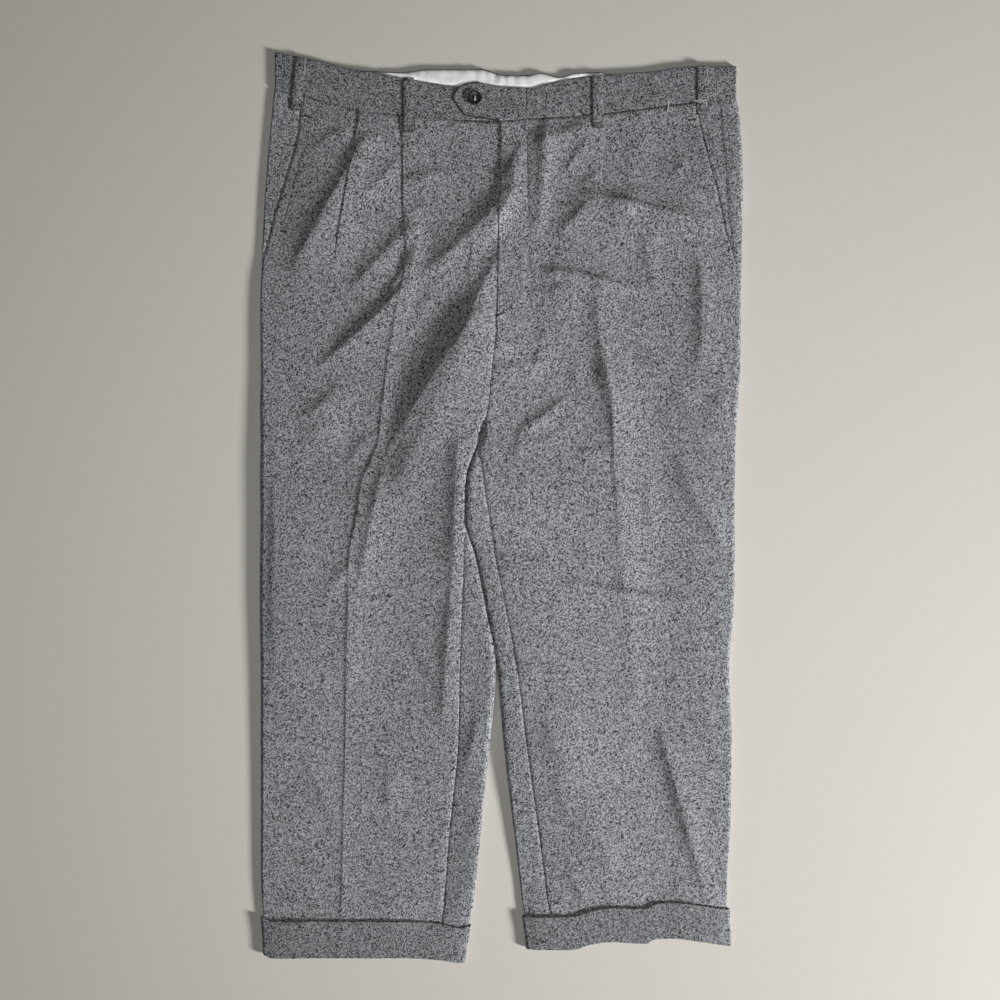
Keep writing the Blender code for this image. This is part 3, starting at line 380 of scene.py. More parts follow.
def topHeight(half, x, y):
    fromEdge = np.abs(x - half.line["edge"](y)) - turnRadius(half, y, "edge") - cloth["wall"] / 2
    fromInner = np.abs(x - half.line["inner"](y)) - turnRadius(half, y, "inner") - cloth["wall"] / 2
    part = parting(y)
    low = ease((cloth["sinkFrom"] - y) / cloth["sinkRun"])
    loft = cloth["loft"] * ease(fromEdge / 50) * (1 - low + low * ease(fromInner / 40))
    drop = cloth["waistDrop"] * ease((y - 340) / 80) * ease(fromEdge / 45)
    belly = cloth["belly"] * ease(fromEdge / 75) * ease((432 - y) / 120) * ease((y - 60) / 190)
    raised = half.lift["edge"](y) * (1 - ease(fromEdge / 90))
    raised = raised + half.lift["inner"](y) * (1 - ease(fromInner / 30))
    atCuff = cloth["overCuff"] * ease((half.nominalCuff + 45 - y) / 45)
    atCuff = atCuff * ease(fromEdge / 14) * ease(fromInner / 14)
    height = edgeMid + loft - drop + belly + raised + atCuff
    trueY = bent(half, x, y)
    folds = relief(x, trueY, topCurves) * ease((y - half.nominalCuff + 4) / 16) * ease((430 - y) / 16)
    folds += sum(high * ripple(x, trueY, *look) for high, *look in cloth["ripples"])
    return np.maximum(height + folds * ease(fromEdge / 14), floorMid + cloth["layer"] + 0.3)


def settleRims():
    # the inner edges rise as high as the cloth beside them
    for half in halves:
        y = np.arange(half.nominalHem, cloth["crotch"], 5.0)[:, None]
        x = half.line["inner"](y) - half.inward * 4.0
        above = (topHeight(half, x, y) - edgeMid - half.lift["inner"](y)) * parting(y)
        half.rim = smoothLine(y[:, 0], above[:, 0] * ease((y[:, 0] - half.nominalCuff) / 20))


def underHeight(half, x, y):
    return floorHeight(half, y) + relief(x, y, underCurves) * ease((y - half.nominalCuff) / 40)


settleRims()


def wrap(half, y, way, line):
    # a place on the laid leg, at a way along the cloth from the outermost point of its edge or inner fold
    into = half.inward if line == "edge" else -half.inward
    low = floorHeight(half, y)
    radius = turnRadius(half, y, line)
    underCuff = cloth["layer"] * ease((half.nominalCuff + 16 - y) / 14)
    tip = half.line[line](y) + into * (cloth["wall"] / 2 + underCuff)
    if line == "inner":
        tip = tip + into * cloth["gap"] / 2 * (1 - 0.8 * half.lift["square"](y))
    quarter = pi * radius / 2
    turning = np.abs(way) <= quarter
    angle = np.clip(way / radius, -pi / 2, pi / 2)
    flatX = tip + into * (radius + np.abs(way) - quarter)
    power = 1 - 0.6 * half.lift["square"](y) if line == "inner" else 1.0
    cosine, sine = np.abs(np.cos(angle)) ** power, np.sign(angle) * np.abs(np.sin(angle)) ** power
    x = np.where(turning, tip + into * radius * (1 - cosine), flatX)
    flatZ = np.where(way > 0, topHeight(half, flatX, y), underHeight(half, flatX, y))
    return x, np.where(turning, low + radius * (1 + sine), flatZ)


def seamWay(half, y):
    apart = np.abs(half.line["seam"](y) - half.line["inner"](y))
    turn = turnRadius(half, y, "inner")
    curved = turn * np.arccos(np.clip(1 - apart / turn, -1, 1))
    return np.where(apart < turn, curved, apart - turn + pi * turn / 2)


def legRows(half, upper, lower):
    knee = cloth["kneeRow"]
    top = np.arange(cloth["waist"], knee, -upper)
    count = int((knee - half.nominalHem) / lower)
    return np.concatenate([top, np.linspace(knee, half.nominalHem + cloth["legEnd"], count)])[:, None]


def halfGap(way):
    # half the gap between front and back, at a way along the cloth from the laid edge
    return cloth["gap"] / 2 + cloth["sideGap"] * (1 - ease((np.abs(way) - 6) / 4))


def between(a, b, count):
    # evenly spaced columns without the two ends
    return a + (b - a) * np.linspace(0, 1, count + 2)[1:-1]


def unit(v):
    return v / np.maximum(np.linalg.norm(v, axis=-1, keepdims=True), 1e-9)


def gridNormals(grid, closed):
    def along(axis, loops):
        ahead = unit(np.roll(grid, -1, axis) - grid)
        behind = np.roll(ahead, 1, axis)
        both = ahead + behind
        if not loops:
            first, last = [slice(None)] * 2, [slice(None)] * 2
            first[axis], last[axis] = 0, -1
            both[tuple(first)], both[tuple(last)] = ahead[tuple(first)], behind[tuple(last)]
        return unit(both)

    return unit(np.cross(along(0, False), along(1, closed)))


def sewnEdges(grid, facing, dips, reach):
    # the cloth dips into its seams: dips are for the first column, the last column and the top row
    normal = gridNormals(grid, False) * facing
    across = np.cumsum(np.linalg.norm(np.diff(grid, axis=1, prepend=grid[:, :1]), axis=-1), 1)
    down = np.cumsum(np.linalg.norm(np.diff(grid, axis=0, prepend=grid[:1]), axis=-1), 0)
    ways = (across, across[:, -1:] - across, down)
    first, last, top = [dip * np.exp(-(way / reach) ** 2) for dip, way in zip(dips, ways)]
    return grid - normal * (first + last)[..., None] - np.array((0, 0, 1.0)) * top[..., None]


def sewnGrid(half, x, y, z, facing, dips, reach):
    # a leg's piece, bent to the waist seam and the hem, sewn at its edges and kept above the floor
    grid = np.stack([x, bent(half, x, y, z < edgeMid / 2), z], -1)
    grid = sewnEdges(grid, facing, dips, reach)
    return np.concatenate([grid[..., :2], np.maximum(grid[..., 2:], floorMid)], -1)


def linked(name, data):
    made = bpy.data.objects.new(name, data)
    bpy.context.scene.collection.objects.link(made)
    return made


def makeObject(name, points, faces, material):
    data = bpy.data.meshes.new(name)
    data.from_pydata(((np.asarray(points) + cloth["shift"]) * 0.001).tolist(), [], faces)
    mesh = bmesh.new()
    mesh.from_mesh(data)
    bmesh.ops.recalc_face_normals(mesh, faces=mesh.faces)
    mesh.to_mesh(data)
    mesh.free()
    data.shade_smooth()
    data.materials.append(material)
    made = linked(name, data)
    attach(made, "root")
    return made


def quadsOf(index):
    # index: a grid of vertex numbers
    corners = [index[:-1, :-1], index[:-1, 1:], index[1:, 1:], index[1:, :-1]]
    return np.stack(corners, -1).reshape(-1, 4).tolist()


def makeCloth(name, grid, wall, material, closed=False):
    # a thin shell with rounded edges, from the grid of its middle points
    normal = gridNormals(grid, closed)
    rows, columns = grid.shape[:2]
    number = np.arange(rows * columns).reshape(rows, columns)
    out = np.zeros_like(grid)
    out[0] += unit(grid[0] - grid[1])
    out[-1] += unit(grid[-1] - grid[-2])
    if closed:
        loops = [np.append(number[0], number[0, 0]), np.append(number[-1], number[-1, 0])[::-1]]
        number = np.concatenate([number, number[:, :1]], 1)
    else:
        out[:, 0] += unit(grid[:, 0] - grid[:, 1])
        out[:, -1] += unit(grid[:, -1] - grid[:, -2])
        loops = [np.concatenate([number[0], number[1:, -1], number[-1, -2::-1], number[-2::-1, 0]])]
    flat, out = grid.reshape(-1, 3), unit(out).reshape(-1, 3)
    offset = normal.reshape(-1, 3) * wall / 2
    points = [flat + offset, flat - offset]
    count = rows * columns
    faces = quadsOf(number) + quadsOf(number[:, ::-1] + count)
    start = 2 * count
    for loop in loops:
        ring = loop[:-1]
        rimOver, rimUnder = [flat[ring] + out[ring] * wall * 0.35 + offset[ring] * s for s in (0.7, -0.7)]
        points += [rimOver, rimUnder]
        over, under = start + np.arange(len(ring)), start + len(ring) + np.arange(len(ring))
        start += 2 * len(ring)
        faces += quadsOf(np.stack([np.append(line, line[0]) for line in (ring, over, under, ring + count)]))
    return makeObject(name, np.concatenate(points), faces, material)


# Materials
woolLook = {
    "dark": (0.008, 0.0085, 0.0095),
    "light": (0.372, 0.383, 0.405),
    "cell": (0.95, 0.55, 50.0),  # size of the pepper-and-salt specks, along the twill and across it
    "slant": 52.0,       # the way the specks lean, as the twill does
    "yarn": 0.9,         # larger specks to the millimetre
    "streak": (0.55, 0.02, 0.4),  # pitch of the light and dark yarns that run up the cloth
    "patch": 0.05,       # pitch of the slow unevenness
    "shares": (0.8, 0.16, 0.035, 0.035),  # what specks, yarns, streaks and patches do to the colour
    "heights": (0.7, 0.3),        # and specks and yarns to the bumps
    "contrast": 0.10,    # small is crisp
    "depth": 0.0004,     # of the bumps, in metres
    "shader": {"Roughness": 0.88, "Sheen Weight": 0.08, "Sheen Roughness": 0.5, "Specular IOR Level": 0.25},
}
liningLook = {
    "color": (0.86, 0.85, 0.83), "shade": (0.70, 0.70, 0.70), "depth": 0.0006, "shader": {"Roughness": 0.7}}
hornLook = {"color": (0.014, 0.014, 0.017), "vein": (0.045, 0.042, 0.045), "shader": {"Roughness": 0.38}}
threadLook = {
    "dark": (0.014, 0.015, 0.018), "light": (0.62, 0.62, 0.62), "depth": 0.0002, "shader": {"Roughness": 0.6}}


def node(tree, kind, inputs=None, **settings):
    made = tree.nodes.new(kind)
    for name, value in settings.items():
        setattr(made, name, value)
    for name, value in (inputs or {}).items():
        if isinstance(value, bpy.types.NodeSocket):
            tree.links.new(value, made.inputs[name])
        else:
            made.inputs[name].default_value = value
    return made


def newMaterial(name):
    material = bpy.data.materials.new(name)
    material.use_nodes = True
    return material, material.node_tree, material.node_tree.nodes["Principled BSDF"]


def clothPoint(tree, turn, stretch=(1, 1, 1)):
    # the cloth's own coordinates in millimetres, turned to the way the piece is cut
    place = node(tree, "ShaderNodeTexCoord").outputs["Object"]
    scale = tuple(1000 * s for s in stretch)
    inputs = {"Vector": place, "Rotation": (0, 0, radians(turn)), "Scale": scale}
    return node(tree, "ShaderNodeMapping", inputs).outputs[0]


def mixed(tree, parts):
    # the weighted sum of several values
    total = None
    for value, weight in parts:
        inputs = {0: value, 1: weight} if total is None else {0: value, 1: weight, 2: total}
        kind = "MULTIPLY" if total is None else "MULTIPLY_ADD"
        total = node(tree, "ShaderNodeMath", inputs, operation=kind).outputs[0]
    return total


def ramp(tree, value, stops):
    made = node(tree, "ShaderNodeValToRGB", {"Fac": value})
    marks = made.color_ramp.elements
    while len(marks) < len(stops):
        marks.new(0.5)
    for mark, (place, color) in zip(marks, stops):
        mark.position, mark.color = place, (*color, 1.0)
    return made.outputs[0]


def noise(tree, point, scale, detail):
    return node(tree, "ShaderNodeTexNoise", {"Vector": point, "Scale": scale, "Detail": detail}).outputs[0]


def waves(tree, turn, scale, distortion):
    return node(tree, "ShaderNodeTexWave", {
        "Vector": clothPoint(tree, turn), "Scale": scale, "Distortion": distortion}).outputs["Fac"]


def dress(tree, shader, look, color, height=None):
    tree.links.new(color, shader.inputs["Base Color"])
    if height is not None:
        bump = node(tree, "ShaderNodeBump", {"Height": height, "Strength": 0.5, "Distance": look["depth"]})
        tree.links.new(bump.outputs[0], shader.inputs["Normal"])
    for name, value in look["shader"].items():
        shader.inputs[name].default_value = value


def makeWool(name, turn=0.0, tone=1.0):
    # tone darkens the whole piece: the waistband, tab, loops and turn-ups are made darker than the fronts
    look = woolLook
    material, tree, shader = newMaterial(name)
    point, leaning = clothPoint(tree, turn), clothPoint(tree, turn - look["slant"])
    cell = node(tree, "ShaderNodeVectorMath", {0: leaning, 1: look["cell"]}, operation="SNAP").outputs[0]
    speck = node(tree, "ShaderNodeTexWhiteNoise", {"Vector": cell}, noise_dimensions="3D").outputs["Value"]
    yarn = noise(tree, point, look["yarn"], 0.0)
    streak = noise(tree, clothPoint(tree, turn, look["streak"]), 1.0, 2.0)
    patch = noise(tree, point, look["patch"], 4.0)
    weave = mixed(tree, zip((speck, yarn, streak, patch), look["shares"]))
    middle = 0.5 * sum(look["shares"])
    dark, light = [[tone * c for c in look[shade]] for shade in ("dark", "light")]
    color = ramp(tree, weave, [(middle - look["contrast"], dark), (middle + look["contrast"], light)])
    dress(tree, shader, look, color, mixed(tree, zip((speck, yarn), look["heights"])))
    return material


def makeLining():
    material, tree, shader = newMaterial("whiteLining")
    weave, patch = waves(tree, 0, 0.5, 1.5), noise(tree, clothPoint(tree, 0), 0.12, 3.0)
    color = ramp(tree, patch, [(0.3, liningLook["shade"]), (0.6, liningLook["color"])])
    dress(tree, shader, liningLook, color, mixed(tree, [(weave, 0.3), (patch, 0.7)]))
    return material


def makeHorn():
    material, tree, shader = newMaterial("darkHorn")
    vein = noise(tree, clothPoint(tree, 20, (0.3, 1.2, 0.6)), 0.6, 4.0)
    dress(tree, shader, hornLook, ramp(tree, vein, [(0.45, hornLook["color"]), (0.75, hornLook["vein"])]))
    return material


def makeThread(name, color):
    material, tree, shader = newMaterial(name)
    twist = waves(tree, 35, 0.9, 0.5)
    dim = tuple(0.6 * c for c in color)
    dress(tree, shader, threadLook, ramp(tree, twist, [(0.2, dim), (0.8, color)]), twist)
    return material


suiting = makeWool("greySuiting")
suitingAcross = makeWool("greySuitingAcross", 90.0, 0.80)
suitingTurnUp = makeWool("greySuitingTurnUp", 180.0, 0.79)
whiteLining = makeLining()
darkHorn = makeHorn()
# near-black thread for the stitches and bar tacks, which also paints the shadow lines round the tab and the
# loops
darkThreadAndShadow = makeThread("darkThreadAndShadow", threadLook["dark"])
lightThread = makeThread("lightThread", threadLook["light"])
print("Materials made")

# Fronts, with their pleats folded in the cloth and the pressed crease
fronts = {
    "rowStep": (2.6, 3.7),        # between rows, above and below the knee
    "columns": (9, 24, 22, 64),   # turn, side, between the pleats, crease to centre
    "pleatTurn": 0.27,
    "creaseRise": 1.0,
    "creaseFlanks": (2.2, 10.0),  # towards -X, where it is steep, and towards +X
    "underlap": 10.0,    # how far the right front runs on under the fly
    "flyLift": 0.9,
    "flyTop": 0.8,       # more of it towards the waist
    "dips": (0.48, 0.8, 1.2),     # into the side seam, the centre or inside-leg seam and the waist seam
    "seamReach": 1.6,
}
# depth of a pleat at the waist, where its fold lets go, and how its cloth spreads below that
pleats = {
    "right": (
        {"line": "tuck", "depth": 12, "holds": 300, "opens": 262, "spread": (19, 13, 8.5, 5, 2, 0, -5, -11)},
        {"line": "crease", "depth": 20, "holds": 276, "opens": 226,
         "spread": (15, 9.5, 6, 3.5, 1.5, 0, -4, -11)},
    ),
    "left": (
        {"line": "tuck", "depth": 12, "holds": 405, "opens": 372, "spread": (19, 13, 8.5, 5, 2, 0, -5, -11)},
        {"line": "crease", "depth": 18, "holds": 376, "opens": 330, "spread": (12, 8, 5, 3, 1.5, 0, -4, -11)},
    ),
}


def pleatPath():
    # out = fixed + byDepth * depth, up, and the place among the eight spread columns
    r = fronts["pleatTurn"]
    parts = []
    for f in np.linspace(0, 1, 6)[:-1]:
        parts.append((5 - 5 * f, -f, 0, f))
    for f in np.linspace(0, 1, 6)[:-1]:
        parts.append((-r * np.sin(pi * f), -1, r - r * np.cos(pi * f), 1 + 2 * f))
    for f in np.linspace(0, 1, 5)[:-1]:
        parts.append((0, f - 1, 2 * r, 3 + f))
    for f in np.linspace(0, 1, 8)[:-1]:
        parts.append((r * np.sin(pi * f), 0, 3 * r - r * np.cos(pi * f), 4 + 2 * f))
    for f in np.linspace(0, 1, 4):
        parts.append((-7 * f, 0, 4 * r, 6 + f))
    return np.array(parts).T


def pressedCrease(half, x, y):
    fade = 1.0 if half.name == "right" else 0.35 * ease((260 - y) / 120)
    strength = fade * (1 - 0.6 * ease((half.nominalCuff + 20 - y) / 30))
    off = x - half.line["crease"](y)
    flank = np.where(off < 0, *fronts["creaseFlanks"])
    return fronts["creaseRise"] * np.exp(-np.abs(off / flank) ** 1.25) * strength


def pleatColumns(half, pleat, y):
    fixed, byDepth, up, place = pleatPath()
    opens = pleat["opens"]
    held = ease((y - opens) / (pleat["holds"] - opens))
    depth = pleat["depth"] * (0.35 + 0.65 * np.clip((y - opens) / (cloth["waist"] - opens), 0, 1))
    folded = fixed + byDepth * depth
    spread = np.interp(place, range(8), pleat["spread"])
    x = half.line[pleat["line"]](y) - half.inward * (spread + (folded - spread) * held)
    return x, up * held, held


def frontGrid(half):
    y = legRows(half, *fronts["rowStep"])
    small, main = pleats[half.name]
    nTurn, nSide, nBetween, nCentre = fronts["columns"]
    start = half.line["mouth"](y) + halfGap(half.line["mouth"](y))
    quarter = pi * turnRadius(half, y, "edge") / 2
    ways = start + (np.maximum(quarter, start + 5.5) - start) * np.linspace(0, 1, nTurn)
    edgeX, edgeZ = wrap(half, y, ways, "edge")

    tuckX, tuckUp, smallHeld = pleatColumns(half, small, y)
    creaseX, creaseUp, mainHeld = pleatColumns(half, main, y)
    sideX = between(edgeX[:, -1:], tuckX[:, :1], nSide)
    betweenX = between(tuckX[:, -1:], creaseX[:, :1], nBetween)
    seamEnd = half.line["seam"](y) - half.inward * cloth["gap"] / 2
    if half.name == "right":
        seamEnd = seamEnd + fronts["underlap"] * ease((y - 224) / 20)
    f = np.linspace(0, 1, nCentre + 1)[1:]
    centreX = creaseX[:, -1:] + (seamEnd - creaseX[:, -1:]) * f

    def lifted(x, line, held, reach):
        # over the folded cloth of a pleat
        away = (x - half.line[line](y)) * half.inward
        return 4 * fronts["pleatTurn"] * held * (1 - ease((away - 5) / reach))

    def ridge(x):
        return pressedCrease(half, x, y) * (1 - mainHeld)

    def onTop(x):
        return topHeight(half, x, y) + ridge(x)

    sideZ = onTop(sideX)
    tuckZ = onTop(tuckX) + tuckUp
    betweenZ = onTop(betweenX) + lifted(betweenX, "tuck", smallHeld, 36)
    creaseZ = onTop(creaseX) + creaseUp + lifted(creaseX, "tuck", smallHeld, 36)
    centreZ = onTop(centreX) + lifted(centreX, "crease", mainHeld, 75)

    # below the crotch the columns wrap towards the leg's inner fold
    part = parting(y)
    end = seamWay(half, y) + cloth["gap"] / 2
    tip = wrap(half, y, np.zeros_like(y), "inner")[0]
    radius = turnRadius(half, y, "inner")
    begin = np.abs(creaseX[:, -1:] - tip) - radius + pi * radius / 2
    innerX, innerZ = wrap(half, y, begin + (end - begin) * f, "inner")
    innerZ = innerZ + ridge(innerX)
    centreX = centreX + (innerX - centreX) * part
    centreZ = centreZ * (1 - part) + innerZ * part
    if half.name == "left":
        away = np.abs(centreX - half.line["seam"](y))
        lap = fronts["flyLift"] * ease((y - 185) / 28) + fronts["flyTop"] * ease((y - 300) / 70)
        centreZ = centreZ + lap * (1 - ease((away - 18) / 24))

    x = np.concatenate([edgeX, sideX, tuckX, betweenX, creaseX, centreX], 1)
    z = np.concatenate([edgeZ, sideZ, tuckZ, betweenZ, creaseZ, centreZ], 1)
    atSide, atCentre, atWaist = fronts["dips"]
    if half.name == "left":
        atCentre = atCentre * ease((215 - y) / 20)  # the fly's own edge stays up
    return sewnGrid(half, x, y, z, half.inward, (atSide, atCentre, atWaist), fronts["seamReach"])


for half in halves:
    front = makeCloth("frontPanel_" + half.name, frontGrid(half), cloth["wall"], suiting)
    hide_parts("front_" + half.name)
print("Fronts made")

# Backs: from the side seam round the floor to the strip inside the leg
backs = {
    "rowStep": (3.4, 4.2),
    "columns": (9, 52, 9, 16),  # turn, floor, round the inner edge, strip on top
    "tuckedStep": 0.55,  # between the last columns above the crotch, where they lie gathered at the centre
    "dips": (0.4, 0.8, 0),
    "seamReach": 1.9,
}


def backGrid(half):
    y = legRows(half, *backs["rowStep"])
    nTurn, nFloor, nInner, nStrip = backs["columns"]
    quarter = pi * turnRadius(half, y, "edge") / 2
    side = half.line["side"](y)
    start = side - halfGap(side)
    ways = start + (np.minimum(-quarter, start - 5.5) - start) * np.linspace(0, 1, nTurn)
    outerX, outerZ = wrap(half, y, ways, "edge")
    part = parting(y)
    end = seamWay(half, y) - cloth["gap"] / 2
    quarter = pi * turnRadius(half, y, "inner") / 2
    low = -quarter
    turned = low + (np.minimum(quarter, end - 1.5) - low) * np.linspace(0, 1, nInner)
    strip = turned[:, -1:] + (end - turned[:, -1:]) * np.linspace(0, 1, nStrip + 1)[1:]
    innerX, innerZ = wrap(half, y, np.concatenate([turned, strip], 1), "inner")
    count = nInner + nStrip
    centre = half.line["seam"](y) - half.inward * cloth["gap"] / 2
    flatX = centre - half.inward * backs["tuckedStep"] * np.arange(count)[::-1]
    layX = flatX + (innerX - flatX) * part
    layZ = floorHeight(half, y) + (innerZ - floorHeight(half, y)) * part
    floorX = between(outerX[:, -1:], layX[:, :1], nFloor)
    floorZ = underHeight(half, floorX, y)
    x, z = np.concatenate([outerX, floorX, layX], 1), np.concatenate([outerZ, floorZ, layZ], 1)
    return sewnGrid(half, x, y, z, -half.inward, backs["dips"], backs["seamReach"])


for half in halves:
    back = makeCloth("backPanel_" + half.name, backGrid(half), cloth["wall"], suiting)
    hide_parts("back_" + half.name)
print("Backs made")

# Pocket facings, just inside the fronts' own surface
facings = {
    "level": 0.45,   # how far they lie below the fronts, and how much more under the mouth's edge
    "sunk": 0.8,
    "fall": 2.0,     # width over which they go down there
    "columns": 60,
    "rowStep": 3.2,
    "dips": (0, 0, 0.8),
    "seamReach": 1.9,
    "ends": {"right": 138, "left": 262},
}


def facingGrid(half):
    y = np.arange(cloth["waist"], facings["ends"][half.name], -facings["rowStep"])[:, None]
    side, mouth = half.line["side"](y), half.line["mouth"](y)
    ways = side - 2.0 + (mouth + 12.0 - side) * np.linspace(0, 1, facings["columns"])
    x, z = wrap(half, y, ways, "edge")
    angle = np.clip(ways / turnRadius(half, y, "edge"), -pi / 2, pi / 2)
    sunk = facings["level"] + facings["sunk"] * ease((ways - mouth + 2.2) / facings["fall"])
    x, z = x + half.inward * sunk * np.cos(angle), z - sunk * np.sin(angle)
    return sewnGrid(half, x, y, z, half.inward, facings["dips"], facings["seamReach"])


for half in halves:
    facing = makeCloth("pocketFacing_" + half.name, facingGrid(half), cloth["wall"], suiting)
    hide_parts("pocket_facing_" + half.name)
print("Pocket facings made")

# Waistband: front strip, round the side fold, back strip to the centre back
waistband = {
    "wall": 0.9,
    "turn": 1.7,
    "loft": 0.8,
    "rows": 22,
    "columns": (110, 11, 60),  # front, side fold and back
    "sides": {"right": -232, "left": 249},
    "height": 38.0,
    "tabSeam": 29.0,      # upright seam where the left strip starts and its tab is sewn on
    "underlap": 24.0,     # how far the right strip runs on under the tab
    "lapFall": 45.0,      # length over which the left strip comes down to the right one's height
    "overlap": 1.1,       # how much higher its left side lies, over the right
    "topRoll": 0.5,       # how far its top edge rolls down
    "rollReach": 2.2,
    "centreRise": 0.5,    # of the back strips at the centre back
    "ripples": ((0.2, 26, 3), (0.05, 9, 4)),  # height, size and seed
}


def bandHeight(x):
    # middle of the front waistband
    mid = waistband["wall"] / 2 + 2 * waistband["turn"]
    outer = np.where(x < 0, -230, 247)
    return mid + waistband["loft"] * ease((np.abs(outer - x) - 2.5) / 40)


def bandLift(x):
    return waistband["overlap"] * (1 - ease((x - waistband["tabSeam"] - 5) / waistband["lapFall"]))


def bandGrid(half):
    f = np.linspace(0, 1, waistband["rows"])
    across = (f + 0.5 * (ease(f) - f))[:, None]  # rows lie closer together at both edges
    into, turn, left = half.inward, waistband["turn"], half.name == "left"
    nFront, nTurn, nBack = waistband["columns"]
    outer = waistband["sides"][half.name] + into * (waistband["wall"] / 2 - 1.0)
    quarter = pi * turn / 2
    centre = waistband["tabSeam"] + cloth["gap"] / 2 if left else waistband["underlap"]
    flat = np.abs(centre - outer) - turn
    x = outer + into * (turn + flat * np.linspace(1, 0.004, nFront)[None, :]) + 0 * across
    y = waistSeam(x) + (bandTop(x) - waistSeam(x)) * across
    roll = waistband["topRoll"] * np.exp(-((1 - across) * waistband["height"] / waistband["rollReach"]) ** 2)
    uneven = sum(high * ripple(x, y, *look) for high, *look in waistband["ripples"])
    z = bandHeight(x) + (bandLift(x) if left else 0.0) - roll + uneven
    ways = np.linspace(quarter, -quarter, nTurn)[None, :]
    turnX = outer + into * turn * (1 - np.cos(ways / turn)) + 0 * across
    share = (1 + np.sin(ways / turn)) / 2
    low = share * waistSeam(turnX) + (1 - share) * backSeam(turnX)
    high = share * bandTop(turnX) + (1 - share) * backTop(turnX)
    floor = waistband["wall"] / 2
    turnZ = floor + (bandHeight(outer) - floor) * share + 0 * across
    backFlat = abs(outer) - turn - cloth["gap"] / 2
    along = np.linspace(0.02, 1, nBack)
    backX = outer + into * (turn + backFlat * along) + 0 * across
    backY = backSeam(backX) + (backTop(backX) - backSeam(backX)) * across
    backZ = floor + waistband["centreRise"] * np.exp(-((1 - along) * backFlat / 2.0) ** 2) + 0 * across
    grid = np.stack([np.concatenate(parts, 1) for parts in (
        (x, turnX, backX), (y, low + (high - low) * across, backY), (z, turnZ, backZ))], -1)
    return sewnEdges(grid, half.inward, (0.4 if left else 0, 0, 0), 1.0)


for half in halves:
    band = makeCloth("waistbandStrip_" + half.name, bandGrid(half), waistband["wall"], suitingAcross)
    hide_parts("waistband_" + half.name)
print("Waistband made")

# White lining of the back waistband, gathered a little along its top edge
lining = {
    "wall": 0.6,
    "from": -134.0,
    "to": 128.0,
    "columns": 230,
    "rows": 14,
    "height": 3.2,
    "rise": 1.5,         # where it comes out from under the front's top edge
    "overlap": 14.0,     # how far it runs on under that
    "gather": 0.45,
    "topRoll": 0.9,
}


def liningGrid():
    across = np.linspace(0, 1, lining["rows"])[:, None]
    x = np.linspace(lining["from"], lining["to"], lining["columns"])[None, :] + 0 * across
    low, high = np.minimum(bandTop(x), backTop(x)) - lining["overlap"], backTop(x) - 1.8
    y = low + (high - low) * across
    gather = np.sin(x / 1.9 + 1.5 * np.sin(x / 13)) * (0.4 + 0.6 * ease((np.abs(x - 6) - 30) / -25 + 0.4))
    past = y - bandTop(x)
    gathers = gather * across ** 2 * 0.6 + 0.8 * ripple(x, y, 12, 11) * ease(past / 3 + 0.5)
    z = lining["height"] + lining["rise"] * ease((past + 0.5) / 4) + lining["gather"] * gathers
    return np.stack([x, y, z - lining["topRoll"] * np.exp(-((high - y) / 1.6) ** 2)], -1)


strip = makeCloth("liningStrip", liningGrid(), lining["wall"], whiteLining)
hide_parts("waistband_lining")

# Pointed tab of the left waistband, over the right one
tab = {"wall": 0.85, "tip": -46.0, "columns": 70, "rows": 20, "roll": 0.05}
tabOutline = ("x low high", (
    (-46, 440, 442.5), (-43, 436, 447), (-38, 428, 452), (-33, 423.2, 454), (-22, 421.6, 455.5),
    (-10, 419.6, 454), (0, 418.4, 452), (14, 418.8, 450.8), (29, 419.6, 450.2),
))


def tabGrid():
    lines = linesOf(tabOutline)
    across = np.linspace(0, 1, tab["rows"])[:, None]
    f = np.linspace(0, 1, tab["columns"])[None, :] + 0 * across
    tip, end = tab["tip"], waistband["tabSeam"] - cloth["gap"] / 2
    x = tip + (end - tip) * (0.6 * f + 0.4 * f * f)  # closer together at the point
    low, high = lines["low"](x), lines["high"](x)
    y = low + (high - low) * across
    fromRim = np.minimum(np.minimum(across, 1 - across) * (high - low), np.minimum((x - tip) * 0.8, end - x))
    z = bandHeight(x) + waistband["overlap"] - tab["roll"] * np.exp(-(fromRim / 1.5) ** 2)
    return np.stack([x, y, z + 0.1 * ripple(x, y, 12, 21)], -1)


tabPiece = makeCloth("waistTab", tabGrid(), tab["wall"], suitingAcross)
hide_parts("waist_tab")
print("Lining and tab made")

# Turn-ups: folded double at the top edge, round the hem into the leg
turnUps = {
    "wall": 0.62,
    "layer": 0.8,         # from the leg to the inner layer, and from there to the outer one
    "inside": (0.45, 0.6, 0.75, 0.88, 0.95),  # rows by their share of the depth
    "outside": (0.94, 0.9, 0.82, 0.72, 0.6, 0.48, 0.36, 0.24, 0.14, 0.07),
    "fold": 0.97,
    "foldRise": 1.1,
    "flare": 1.5,         # how far its top edge stands off the leg
    "flareReach": 14.0,
    "columns": (13, 230, 62),  # round each edge, on top and on the floor
}


